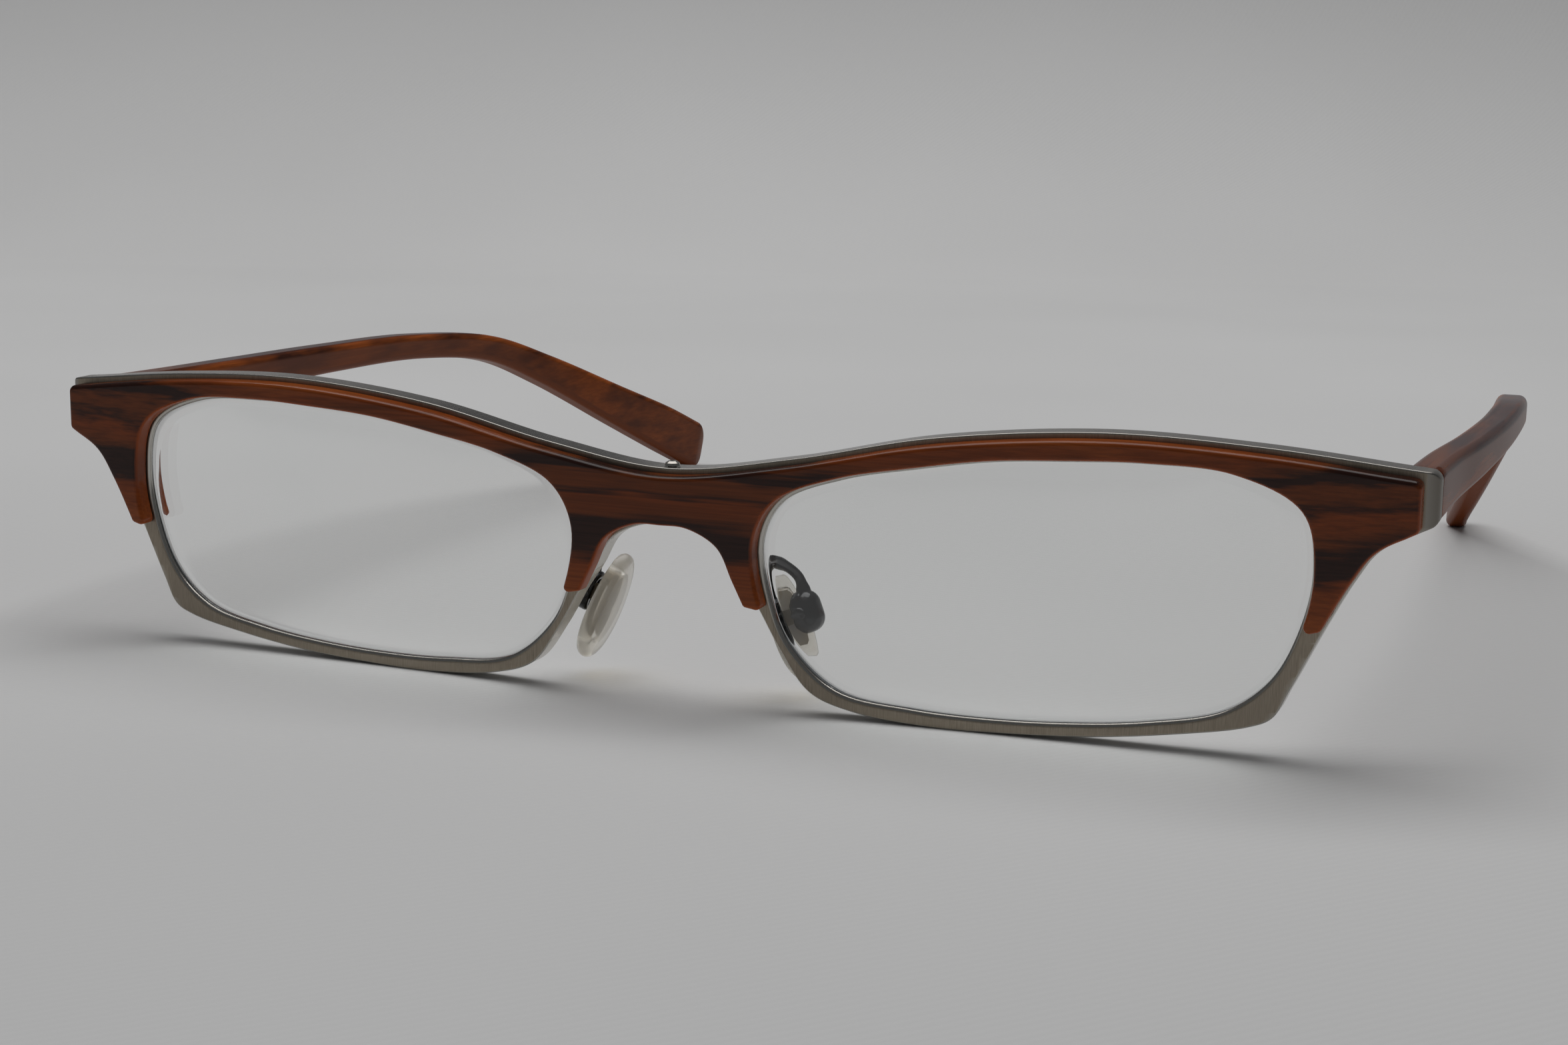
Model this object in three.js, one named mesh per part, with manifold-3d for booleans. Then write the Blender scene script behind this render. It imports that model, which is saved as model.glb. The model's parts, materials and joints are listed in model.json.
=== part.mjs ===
// Half-rim eyeglasses: a metal front with an acetate brow, two lenses, rocking nose pads and folding
// acetate temples. Units are mm, +Z is up, +X is the wearer's left and the wearer looks along -Y.
import * as THREE from 'three';
import { mergeVertices } from 'three/addons/utils/BufferGeometryUtils.js';
import Module from 'manifold-3d';

const wasm = await Module();
wasm.setup();

// ---- Driving dimensions ------------------------------------------------------------------------
// The front is drawn flat: x to the wearer's left, z up, t the depth behind the metal's front face.
// It is then wrapped round the face by moving each point back by wrapRate * x * x.
const wrapRate = 0.00087;
const wrapColumnStep = 7.5;

const metalHalfWidth = 67.9;
const metalDepth = 2.4;
const metalCornerRadius = 1.2;
const browHalfWidth = 66.7;
const browDepth = 1.8;
const browEdgeRound = 0.3;
const metalShowsAbove = 0.5;
const metalShowsAtSides = 0.15;
const openingLip = 0.35;
const backingDepth = 1.4;
const backingEdgeRound = 0.3;
const layerGap = 0.1;
const backingFront = metalDepth + layerGap;
const backingBack = backingFront + backingDepth;

const grooveDepth = 0.5;
const grooveWidth = 1.4;
const lensThickness = 1.2;
const lensEdgeThickness = 0.7;
const lensInGroove = 0.28;
const lensBevelInset = 0.4;

const hingeX = 62.9;
const hingeZ = 8.5;
const barrelRadius = 1.25;
const leafThickness = 0.75;
const endKnuckleHeight = 1.25;
const middleKnuckleHeight = 1.25;
const knuckleGap = 0.12;
const screwRadius = 0.45;
const screwHoleRadius = 0.55;
const rivetRadius = 0.3;
const rivetHoleRadius = 0.45;
const rivetHeadRadius = 0.6;
const frontLeafLength = 3.5;
const templeLeafLength = 8.5;

const templeOuterX = 67.7;
const templeThickness = 3.3;
const coreWireRadius = 0.65;
const coreChannelRadius = 0.85;

const padLength = 11;
const padWidth = 6.8;
const padThickness = 1.9;
const padFrontalTilt = THREE.MathUtils.degToRad(22);
const padSplay = THREE.MathUtils.degToRad(3);
const padLeanBack = 0.06;
const padBoxCentre = new THREE.Vector3(11, 7.1, -5.8);
const padArmRadius = 0.48;
const padArmLocalZ = -0.55;
const padScrewRadius = 0.3;
const padScrewHoleRadius = 0.38;
const padScrewZ = -0.2;
const padBoxSize = [3.3, 4];
const padBoxDepths = [-1.6, 0.45];
const padCavitySize = [1.7, 2.7];
const padCavityFloor = -1.25;
const insertRadii = [1.5, 3.3];
const insertThickness = 0.6;
const insertPocketGap = 0.3;

const bridgeScrewHead = { radius: 0.75, height: 0.45 };
const bridgeScrewShank = { radius: 0.42, length: 2.2 };
const bridgeScrewZ = 8.07;

// ---- Materials ---------------------------------------------------------------------------------
const acetate = () => new THREE.MeshStandardMaterial({ color: 0x4b2616, roughness: 0.12, metalness: 0 });
const brushedMetal = () => new THREE.MeshStandardMaterial({ color: 0x6e6c60, roughness: 0.4, metalness: 1 });
const darkMetal = () => new THREE.MeshStandardMaterial({ color: 0x3c3a38, roughness: 0.35, metalness: 1 });
const steel = () => new THREE.MeshStandardMaterial({ color: 0xa8a8a4, roughness: 0.25, metalness: 1 });
const lensPlastic = () => new THREE.MeshStandardMaterial({
  color: 0xf4f8fa, roughness: 0.03, metalness: 0, transparent: true, opacity: 0.25,
});
const clearSilicone = () => new THREE.MeshStandardMaterial({
  color: 0xe9e4d6, roughness: 0.2, metalness: 0, transparent: true, opacity: 0.6,
});
const insertPlastic = () => new THREE.MeshStandardMaterial({ color: 0xc9c2b2, roughness: 0.3, metalness: 0 });

// ---- Curves ------------------------------------------------------------------------------------
const perSpan = 3;

function smooth(points, closed = false) {
  const corners = points.map(([x, z]) => new THREE.Vector3(x, z, 0));
  const curve = new THREE.CatmullRomCurve3(corners, closed, 'centripetal');
  const spans = closed ? points.length : points.length - 1;
  const samples = curve.getPoints(spans * perSpan).map((p) => new THREE.Vector2(p.x, p.y));
  return closed ? samples.slice(0, -1) : samples;
}

const mirrorPoint = (p) => new THREE.Vector2(-p.x, p.y);

// A curve through points that start on the centre line, continued over to the other side.
function smoothAcross(points) {
  const far = points.slice(1).reverse().map(([x, z]) => [-x, z]);
  return smooth([...far, ...points]);
}

// Moves a run of points sideways: to the left of its direction for a positive distance.
function offsetRun(points, distance, closed = false) {
  const last = points.length - 1;
  return points.map((p, i) => {
    const before = closed ? points[(i + last) % (last + 1)] : points[Math.max(i - 1, 0)];
    const after = closed ? points[(i + 1) % (last + 1)] : points[Math.min(i + 1, last)];
    const along = after.clone().sub(before).normalize();
    return new THREE.Vector2(p.x - along.y * distance, p.y + along.x * distance);
  });
}

// Replaces the corner between two runs by an arc of the given radius.
function roundedCorner(before, corner, after, radius, steps = 3) {
  const back = before.clone().sub(corner).normalize();
  const ahead = after.clone().sub(corner).normalize();
  const half = Math.acos(back.dot(ahead)) / 2;
  const middle = back.clone().add(ahead).normalize();
  const centre = corner.clone().addScaledVector(middle, radius / Math.sin(half));
  const start = corner.clone().addScaledVector(back, radius / Math.tan(half)).sub(centre);
  const turn = -Math.sign(back.cross(ahead)) * (Math.PI - 2 * half);
  return Array.from({ length: steps + 1 }, (_, k) => (
    start.clone().rotateAround(new THREE.Vector2(), (turn * k) / steps).add(centre)
  ));
}

// ---- Outlines of the front, drawn for x > 0 -----------------------------------------------------
// The lens opening runs from the brow's temporal end over the top to its nasal end, then underneath.
const openingUpper = [
  [57.1, -2.3], [58.0, 3.0], [56.9, 7.9], [51.4, 10.6], [44, 11.15], [37.3, 10.95], [30.4, 10.5],
  [23.5, 9.4], [16.9, 8.05], [11.3, 5.7], [9.35, 2], [10.3, -4.1],
];
const openingLower = [
  [12.1, -7.75], [16.4, -11.3], [23.4, -12.3], [30.4, -12.5], [37.8, -12.2], [44.6, -11.45],
  [51.2, -9.9], [54.9, -6.9],
];
const opening = smooth([...openingUpper, ...openingLower], true);
const openingUnderBrow = opening.slice(0, (openingUpper.length - 1) * perSpan + 1);

const metalTopEdge = [[0, 7.97], [11.9, 9.6], [25, 12.35], [40, 13.7], [53.4, 13.2], [66.6, 11.85]];
const metalEndLower = [[66.7, 6.75], [63.4, 4.9], [61.5, 2.2], [59.25, -2.05]];
const metalLowerRim = [
  [56.6, -7.6], [55.2, -10.2], [53.2, -11.15], [46.8, -12.35], [39.5, -13.25], [32.3, -13.65],
  [25.2, -13.75], [18, -13.05], [13.9, -11.6], [11.2, -8.1], [9.15, -4.6],
];
const metalArch = [[0, 2.62], [2.6, 2.5], [5.6, 1.0], [7.35, -1.9], [8.9, -4.2]];
const browArch = [[0, 2.92], [2.6, 2.8], [5.5, 1.3], [7.0, -1.6], [8.15, -3.9]];
const metalEndHeights = [7.3, 11.7];
const browEndHeights = [6.95, 11.2];

// The acetate backing behind the bridge and behind the left end piece.
const bridgeBackingLower = [[0, 3.3], [2.4, 3.3], [4.9, 2.4], [6.6, 1.9]];
const bridgeBackingUpper = [[0, 7.4], [5, 7.95], [8.8, 8.4]];
const bridgeBackingSide = [[8.8, 8.4], [9.5, 7.6], [8.3, 5.2], [7.6, 3], [6.6, 1.9]];
const endBackingTop = [[53.2, 12.2], [60, 11.9], [66.2, 11.4]];
const endBackingOuter = [[67.3, 10.9], [67.3, 7.4]];
const endBackingFoot = [58.7, -1.8];

const metalSide = smooth([...metalEndLower, ...metalLowerRim]);
const browEndCount = (metalEndLower.length - 1) * perSpan + 1;

function metalOutline() {
  const top = smoothAcross(metalTopEdge);
  const [lowerCorner, upperCorner] = metalEndHeights.map((z) => new THREE.Vector2(metalHalfWidth, z));
  const end = [
    ...roundedCorner(top.at(-1), upperCorner, lowerCorner, 1.0),
    ...roundedCorner(upperCorner, lowerCorner, metalSide[0], 0.8),
  ];
  const right = [...end, ...metalSide];
  return [...top, ...right, ...smoothAcross(metalArch).reverse(), ...right.map(mirrorPoint).reverse()];
}

function browOutline() {
  const lowered = metalTopEdge.map(([x, z]) => [Math.min(x, browHalfWidth - 0.9), z - metalShowsAbove]);
  const top = smoothAcross(lowered);
  const outer = offsetRun(metalSide, -metalShowsAtSides).slice(1, browEndCount);
  const inner = offsetRun(openingUnderBrow, -openingLip);
  const arch = smoothAcross(browArch);
  const [lowerCorner, upperCorner] = browEndHeights.map((z) => new THREE.Vector2(browHalfWidth, z));
  const right = [
    ...roundedCorner(top.at(-1), upperCorner, lowerCorner, 0.7),
    ...roundedCorner(upperCorner, lowerCorner, outer[1], 0.6),
    ...outer.slice(1, -1),
    ...roundedCorner(outer.at(-2), outer.at(-1), inner[0], 0.5),
    ...roundedCorner(outer.at(-1), inner[0], inner[1], 0.5),
    ...inner.slice(1, -1),
    ...roundedCorner(inner.at(-2), inner.at(-1), arch.at(-1), 0.42),
    ...roundedCorner(inner.at(-1), arch.at(-1), arch.at(-2), 0.42),
  ];
  return [...top, ...right, ...arch.slice(1, -1).reverse(), ...right.map(mirrorPoint).reverse()];
}

// ---- Solids ------------------------------------------------------------------------------------
function bareMesh(geometry) {
  const bare = new THREE.BufferGeometry();
  const flat = geometry.index ? geometry.toNonIndexed() : geometry;
  bare.setAttribute('position', flat.getAttribute('position'));
  return mergeVertices(bare, 1e-4);
}

function solidOf(geometry) {
  const mesh = bareMesh(geometry);
  return new wasm.Manifold(new wasm.Mesh({
    numProp: 3,
    vertProperties: new Float32Array(mesh.getAttribute('position').array),
    triVerts: new Uint32Array(mesh.index.array),
  }));
}

function geometryOf(solid) {
  const mesh = solid.getMesh();
  const geometry = new THREE.BufferGeometry();
  geometry.setAttribute('position', new THREE.BufferAttribute(new Float32Array(mesh.vertProperties), 3));
  geometry.setIndex([...mesh.triVerts]);
  return geometry;
}

function cut(geometry, ...tools) {
  return geometryOf(tools.reduce((solid, tool) => solid.subtract(solidOf(tool)), solidOf(geometry)));
}

function join(...geometries) {
  return geometryOf(geometries.map(solidOf).reduce((sum, solid) => sum.add(solid)));
}

// A flat plate of the given outline between two depths, with its edges rounded by `round`.
function plate(outline, tFront, tBack, { holes = [], round = 0, roundSteps = 2, reach = round } = {}) {
  const shape = new THREE.Shape(outline);
  shape.holes = holes.map((hole) => new THREE.Path(hole));
  const geometry = new THREE.ExtrudeGeometry(shape, {
    depth: tBack - tFront - 2 * round,
    bevelEnabled: round > 0,
    bevelThickness: round,
    bevelSize: reach,
    bevelOffset: -reach,
    bevelSegments: roundSteps,
  });
  geometry.rotateX(Math.PI / 2);
  geometry.translate(0, tBack - round, 0);
  return geometry;
}

function upright(radius, zLow, zHigh, x = 0, y = 0, sides = 24) {
  const geometry = new THREE.CylinderGeometry(radius, radius, zHigh - zLow, sides);
  geometry.rotateX(Math.PI / 2);
  geometry.translate(x, y, (zLow + zHigh) / 2);
  return geometry;
}

function block(xLow, xHigh, yLow, yHigh, zLow, zHigh) {
  const geometry = new THREE.BoxGeometry(xHigh - xLow, yHigh - yLow, zHigh - zLow);
  geometry.translate((xLow + xHigh) / 2, (yLow + yHigh) / 2, (zLow + zHigh) / 2);
  return geometry;
}

// A closed skin over rings of points, with a fan at each end.
function skinOver(rings) {
  const count = rings[0].length;
  const centreOf = (ring) => ring.reduce((sum, p) => sum.add(p), new THREE.Vector3()).divideScalar(count);
  const vertices = [...rings.flat(), centreOf(rings[0]), centreOf(rings.at(-1))];
  const faces = [];
  const lastRing = (rings.length - 1) * count;
  for (let k = 0; k < count; k += 1) {
    const next = (k + 1) % count;
    for (let base = 0; base < lastRing; base += count) {
      faces.push(base + k, base + next, base + count + next, base + k, base + count + next, base + count + k);
    }
    faces.push(vertices.length - 2, next, k, vertices.length - 1, lastRing + k, lastRing + next);
  }
  const geometry = new THREE.BufferGeometry().setFromPoints(vertices);
  geometry.setIndex(faces);
  return facingOut(geometry);
}

function signedVolume(geometry) {
  const flat = geometry.toNonIndexed().getAttribute('position');
  const [a, b, c] = [new THREE.Vector3(), new THREE.Vector3(), new THREE.Vector3()];
  let volume = 0;
  for (let i = 0; i < flat.count; i += 3) {
    a.fromBufferAttribute(flat, i);
    b.fromBufferAttribute(flat, i + 1);
    c.fromBufferAttribute(flat, i + 2);
    volume += a.dot(b.cross(c)) / 6;
  }
  return volume;
}

function facingOut(geometry) {
  if (signedVolume(geometry) < 0) {
    const turned = [...geometry.index.array];
    for (let i = 0; i < turned.length; i += 3) {
      [turned[i], turned[i + 1]] = [turned[i + 1], turned[i]];
    }
    geometry.setIndex(turned);
  }
  return geometry;
}

function mirroredInX(geometry) {
  const indexed = bareMesh(geometry);
  indexed.scale(-1, 1, 1);
  return facingOut(indexed);
}

// ---- Wrap --------------------------------------------------------------------------------------
const wrapAt = (x) => wrapRate * x * x;
const wrapSlope = (x) => 2 * wrapRate * x;

function crossingPoint(p, q, column) {
  const [a, b] = p.x < q.x ? [p, q] : [q, p];
  return a.clone().lerp(b, (column - a.x) / (b.x - a.x)).setX(column);
}

// Cuts every triangle that crosses a column x = const, so that flat faces can follow the wrap.
function cutAtColumn(corners, column) {
  const result = [];
  for (let i = 0; i < corners.length; i += 3) {
    const trio = corners.slice(i, i + 3);
    const side = trio.map((p) => (Math.abs(p.x - column) < 1e-4 ? 0 : Math.sign(p.x - column)));
    const [above, below] = [[], []];
    for (let k = 0; k < 3; k += 1) {
      const next = (k + 1) % 3;
      if (side[k] >= 0) above.push(trio[k]);
      if (side[k] <= 0) below.push(trio[k]);
      if (side[k] * side[next] < 0) {
        const point = crossingPoint(trio[k], trio[next], column);
        above.push(point);
        below.push(point);
      }
    }
    const crossed = side.includes(1) && side.includes(-1);
    for (const polygon of crossed ? [above, below] : [trio]) {
      for (let k = 1; k < polygon.length - 1; k += 1) {
        result.push(polygon[0], polygon[k], polygon[k + 1]);
      }
    }
  }
  return result;
}

function wrapped(geometry) {
  const flat = bareMesh(geometry).toNonIndexed().getAttribute('position');
  const cornerAt = (_, i) => new THREE.Vector3().fromBufferAttribute(flat, i);
  let corners = Array.from({ length: flat.count }, cornerAt);
  const columns = Math.floor(metalHalfWidth / wrapColumnStep);
  for (let k = -columns; k <= columns; k += 1) {
    corners = cutAtColumn(corners, k * wrapColumnStep);
  }
  const moved = corners.map((p) => new THREE.Vector3(p.x, p.y + wrapAt(p.x), p.z));
  return mergeVertices(new THREE.BufferGeometry().setFromPoints(moved), 1e-4);
}

// ---- Front -------------------------------------------------------------------------------------
const bothSides = (run) => [run, run.map(mirrorPoint).reverse()];

function metalFront() {
  const outline = metalOutline();
  const whole = plate(outline, 0, metalDepth, { holes: bothSides(opening), round: 0.15, roundSteps: 1 });
  const grooveFront = (metalDepth - grooveWidth) / 2;
  const grooveLoop = offsetRun(opening, -grooveDepth, true);
  const grooves = bothSides(grooveLoop).map((loop) => plate(loop, grooveFront, grooveFront + grooveWidth));
  const screwHole = upright(screwHoleRadius, 5.5, 9, 0, metalDepth / 2);
  const soft = solidOf(cut(whole, ...grooves, screwHole)).intersect(solidOf(roundedEnds()));
  return wrapped(geometryOf(soft));
}

// A block as wide as the metal, with its two front corners rounded as seen from above.
function roundedEnds() {
  const [w, r] = [metalHalfWidth, metalCornerRadius];
  const plan = new THREE.Shape();
  plan.moveTo(-w, -metalDepth - 1);
  plan.lineTo(w, -metalDepth - 1);
  plan.lineTo(w, -r);
  plan.absarc(w - r, -r, r, 0, Math.PI / 2);
  plan.lineTo(r - w, 0);
  plan.absarc(r - w, -r, r, Math.PI / 2, Math.PI);
  const geometry = new THREE.ExtrudeGeometry(plan, { depth: 40, bevelEnabled: false, curveSegments: 5 });
  geometry.scale(1, -1, 1);
  geometry.translate(0, 0, -20);
  return facingOut(bareMesh(geometry));
}

function frontBrow() {
  const back = -layerGap;
  return wrapped(plate(browOutline(), back - browDepth, back, { round: browEdgeRound, roundSteps: 1 }));
}

// Acetate backing behind the bridge, between the nasal ends of the two lens openings.
function rearBridge() {
  const side = smooth(bridgeBackingSide).slice(1, -1);
  const outline = [
    ...smoothAcross(bridgeBackingUpper), ...side,
    ...smoothAcross(bridgeBackingLower).reverse(), ...side.map(mirrorPoint).reverse(),
  ];
  return wrapped(plate(outline, backingFront, backingBack, { round: backingEdgeRound, roundSteps: 1 }));
}

// Acetate backing behind the left end piece, with the holes of the hinge's rivets.
function rearEnd() {
  const outer = offsetRun(metalSide, -metalShowsAtSides).slice(1, browEndCount);
  const inner = offsetRun(opening, -openingLip, true).slice(0, 2 * perSpan + 1);
  const [upperEnd, lowerEnd, foot] = [...endBackingOuter, endBackingFoot].map(
    ([x, z]) => new THREE.Vector2(x, z),
  );
  const outline = [...smooth(endBackingTop), upperEnd, lowerEnd, ...outer, foot, ...inner.slice(1)];
  const body = plate(outline, backingFront, backingBack, { round: backingEdgeRound, roundSteps: 1 });
  const holes = frontRivets.map(([x, z]) => alongDepth(
    rivetHoleRadius + 0.05, backingFront - 1, backingBack + 1, hingeX + x + 0.2, hingeZ + z,
  ));
  return wrapped(cut(body, ...holes));
}

// A cylinder along the depth direction of the flat drawing.
function alongDepth(radius, tFront, tBack, x, z, sides = 16) {
  const geometry = new THREE.CylinderGeometry(radius, radius, tBack - tFront, sides);
  geometry.translate(x, (tFront + tBack) / 2, z);
  return geometry;
}

function lens() {
  const rimLoop = offsetRun(opening, -lensInGroove, true);
  const middle = metalDepth / 2;
  const bevel = (lensThickness - lensEdgeThickness) / 2;
  return wrapped(plate(rimLoop, middle - lensThickness / 2, middle + lensThickness / 2, {
    round: bevel, reach: lensInGroove + lensBevelInset, roundSteps: 1,
  }));
}

// A round-headed screw or rivet along Z: the head's flat underside is at z = 0, the shank goes down.
function roundHeaded(headRadius, headHeight, shankRadius, shankLength, slotWidth = 0) {
  const profile = [new THREE.Vector2(0, -shankLength), new THREE.Vector2(shankRadius, -shankLength)];
  profile.push(new THREE.Vector2(shankRadius, 0));
  for (let k = 0; k <= 3; k += 1) {
    const angle = (k / 3) * (Math.PI / 2);
    profile.push(new THREE.Vector2(headRadius * Math.cos(angle), headHeight * Math.sin(angle)));
  }
  profile.at(-1).x = 0;
  const geometry = new THREE.LatheGeometry(profile, 16);
  geometry.rotateX(Math.PI / 2);
  if (slotWidth === 0) {
    return facingOut(bareMesh(geometry));
  }
  const half = slotWidth / 2;
  const slot = block(-headRadius, headRadius, -half, half, headHeight * 0.45, headHeight + 1);
  return cut(facingOut(bareMesh(geometry)), slot);
}

// ---- Hinges, about the pivot at the origin -------------------------------------------------------
const pivot = new THREE.Vector3(
  hingeX, backingBack + wrapAt(hingeX) + layerGap + barrelRadius, hingeZ,
);
const barrelHalf = middleKnuckleHeight / 2 + knuckleGap + endKnuckleHeight;
const leafSpan = [barrelRadius - leafThickness, barrelRadius];
const frontRivets = [[-2.2, 1.1], [-2.2, -1.1]];
const templeRivetYs = [3.4, 6.6];

// The front leaf lies on y = -barrelRadius and carries the upper and lower knuckles.
function frontLeaf() {
  const middleHigh = middleKnuckleHeight / 2 + knuckleGap;
  const barrel = upright(barrelRadius, -barrelHalf, barrelHalf);
  const leaf = block(-frontLeafLength, 0, -leafSpan[1], -leafSpan[0], -barrelHalf, barrelHalf);
  const gap = block(-barrelRadius - 0.2, 2, -2, 2, -middleHigh, middleHigh);
  const bore = upright(screwHoleRadius, -3, 3);
  const holes = frontRivets.map(([x, z]) => alongDepth(rivetHoleRadius, -3, 0, x, z));
  return cut(join(barrel, leaf), gap, bore, ...holes);
}

// The temple leaf lies on x = +barrelRadius and carries the middle knuckle.
function templeLeaf() {
  const half = middleKnuckleHeight / 2;
  const barrel = upright(barrelRadius, -half, half);
  const web = block(leafSpan[0], leafSpan[1], 0, barrelRadius + 1, -half, half);
  const leaf = block(leafSpan[0], leafSpan[1], barrelRadius + 0.3, templeLeafLength, -1.5, 1.5);
  const bore = upright(screwHoleRadius, -3, 3);
  const holes = templeRivetYs.map((y) => {
    const hole = new THREE.CylinderGeometry(rivetHoleRadius, rivetHoleRadius, 3, 16);
    hole.rotateZ(Math.PI / 2);
    hole.translate(1.2, y, 0);
    return hole;
  });
  return cut(join(barrel, web, leaf), bore, ...holes);
}

// ---- Temples -----------------------------------------------------------------------------------
// Stations along the left temple: y and z of the centre line, height, thickness, inward offset.
const templeStations = [
  [8, 9.1, 4.7, templeThickness, 0],
  [20, 8.85, 4.3, templeThickness, -0.2],
  [34, 8.55, 3.8, templeThickness, -0.9],
  [52, 8.15, 3.3, templeThickness, -1.3],
  [72, 7.35, 3.1, templeThickness, -0.7],
  [88, 5.3, 3.4, 3.2, 0.9],
  [100, 1.1, 4.2, 3.1, 3.1],
  [115, -5.5, 5.7, 2.9, 6.6],
  [126.5, -10.6, 6.8, 2.7, 9.4],
  [132.5, -13.4, 6.9, 2.6, 10.8],
];
const templeCentreX = templeOuterX - templeThickness / 2;
const templeLine = new THREE.CatmullRomCurve3(
  templeStations.map(([y, z, , , inward]) => new THREE.Vector3(templeCentreX - inward, y, z)),
  false, 'centripetal',
);
const templeSize = new THREE.CatmullRomCurve3(
  templeStations.map(([, , height, thickness]) => new THREE.Vector3(thickness, height, 0)),
  false, 'catmullrom',
);

// A ring of points round the temple's centre line, with `section` drawn in x and along the up normal.
function ringAt(t, section, along = 0) {
  const centre = templeLine.getPoint(t);
  const tangent = templeLine.getTangent(t).setX(0).normalize();
  const up = new THREE.Vector3(0, -tangent.z, tangent.y);
  centre.addScaledVector(tangent, along);
  return section.map(([x, z]) => centre.clone().addScaledVector(up, z).setX(centre.x + x));
}

function roundedSection(width, height, radius, steps = 2) {
  const section = [];
  for (const [sx, sz, start] of [[1, 1, 0], [-1, 1, 1], [-1, -1, 2], [1, -1, 3]]) {
    for (let k = 0; k <= steps; k += 1) {
      const angle = (start + k / steps) * (Math.PI / 2);
      const x = sx * (width / 2 - radius) + radius * Math.cos(angle);
      const z = sz * (height / 2 - radius) + radius * Math.sin(angle);
      section.push([x, z]);
    }
  }
  return section;
}

function roundSection(radius, sides = 10) {
  return Array.from({ length: sides }, (_, k) => {
    const angle = (k / sides) * 2 * Math.PI;
    return [radius * Math.cos(angle), radius * Math.sin(angle)];
  });
}

const templeEdgeRadius = 0.8;
const templeRings = 26;

function temple() {
  const rings = [];
  const buttSlope = wrapSlope(templeCentreX);
  for (let k = 0; k <= templeRings; k += 1) {
    const t = k / templeRings;
    const size = templeSize.getPoint(t);
    if (k === 0) {
      rings.push(ringAt(t, roundedSection(size.x - 0.4, size.y - 0.4, templeEdgeRadius - 0.2)));
      rings.push(ringAt(t, roundedSection(size.x, size.y, templeEdgeRadius), 0.2));
      rings.flat().forEach((p) => p.setY(p.y + buttSlope * (p.x - templeCentreX)));
    } else {
      rings.push(ringAt(t, roundedSection(size.x, size.y, templeEdgeRadius)));
    }
  }
  const last = templeSize.getPoint(1);
  for (const angle of [25, 50, 70, 84].map(THREE.MathUtils.degToRad)) {
    const [width, height] = [last.x * Math.cos(angle * 0.7), last.y * Math.cos(angle)];
    const radius = Math.min(templeEdgeRadius, height / 2, width / 2) * 0.98;
    rings.push(ringAt(1, roundedSection(width, height, radius), (last.y / 2) * 0.8 * Math.sin(angle)));
  }
  const channel = alongTemple(coreChannelRadius, -4, 0.82);
  const rivetHoles = templeRivetYs.map((y) => acrossTemple(rivetHoleRadius, hingeX, templeOuterX - 2.75, y));
  return cut(skinOver(rings), channel, ...rivetHoles);
}

// A round bar that follows the temple's centre line, from `before` in front of its start to t = tEnd.
function alongTemple(radius, before, tEnd) {
  const section = roundSection(radius);
  const steps = 22;
  const rings = [ringAt(0, section, before)];
  for (let k = 1; k <= steps; k += 1) {
    rings.push(ringAt((k / steps) * tEnd, section));
  }
  return skinOver(rings);
}

function acrossTemple(radius, xLow, xHigh, y) {
  const geometry = new THREE.CylinderGeometry(radius, radius, xHigh - xLow, 16);
  geometry.rotateZ(Math.PI / 2);
  geometry.translate((xLow + xHigh) / 2, pivot.y + y, pivot.z);
  return geometry;
}

// ---- Nose pads, about the centre of the pad box ---------------------------------------------------
// Local x is the pad's width, y its length (up) and z points from the box to the nose.
const padPlateFront = 1.05;
const padCentreY = -0.7;

function padBasis() {
  const length = new THREE.Vector3(-Math.sin(padFrontalTilt), padLeanBack, Math.cos(padFrontalTilt));
  length.normalize();
  const toNose = new THREE.Vector3(-Math.cos(padSplay), Math.sin(padSplay), 0);
  toNose.addScaledVector(length, -toNose.dot(length)).normalize();
  const width = length.clone().cross(toNose);
  return new THREE.Matrix4().makeBasis(width, length, toNose);
}

const padMatrix = padBasis().setPosition(padBoxCentre);

function nosePad() {
  const rings = [];
  for (let k = 0; k <= 16; k += 1) {
    const v = -Math.cos((k / 16) * Math.PI * 0.98 + Math.PI * 0.01);
    const roundness = Math.sqrt(1 - v * v);
    const halfWidth = (padWidth / 2) * roundness ** 0.9 * (1 - 0.14 * v);
    const halfDepth = (padThickness / 2) * roundness ** 0.7;
    rings.push(superEllipse(halfWidth, halfDepth).map(([x, z]) => new THREE.Vector3(
      x, padCentreY + (padLength / 2) * v, padPlateFront + padThickness / 2 + z + 0.25 * (x / padWidth) ** 2,
    )));
  }
  const pocketTop = padPlateFront + insertThickness + 0.35;
  return cut(skinOver(rings), insertPlate(insertPocketGap, padPlateFront - 0.6, pocketTop));
}

function superEllipse(a, b, power = 2.4, sides = 20) {
  return Array.from({ length: sides }, (_, k) => {
    const angle = (k / sides) * 2 * Math.PI;
    const [c, s] = [Math.cos(angle), Math.sin(angle)];
    return [a * Math.sign(c) * Math.abs(c) ** (2 / power), b * Math.sign(s) * Math.abs(s) ** (2 / power)];
  });
}

// The insert's oval plate, grown by `extra` all round, between two heights.
function insertPlate(extra, zLow, zHigh) {
  const oval = new THREE.CylinderGeometry(1, 1, zHigh - zLow, 20);
  oval.rotateX(Math.PI / 2);
  oval.scale(insertRadii[0] + extra, insertRadii[1] + extra, 1);
  oval.translate(0, padCentreY, (zLow + zHigh) / 2);
  return oval;
}

function alongLocalX(radius, xLow, xHigh) {
  const geometry = new THREE.CylinderGeometry(radius, radius, xHigh - xLow, 24);
  geometry.rotateZ(Math.PI / 2);
  geometry.translate((xLow + xHigh) / 2, 0, padScrewZ);
  return geometry;
}

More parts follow.
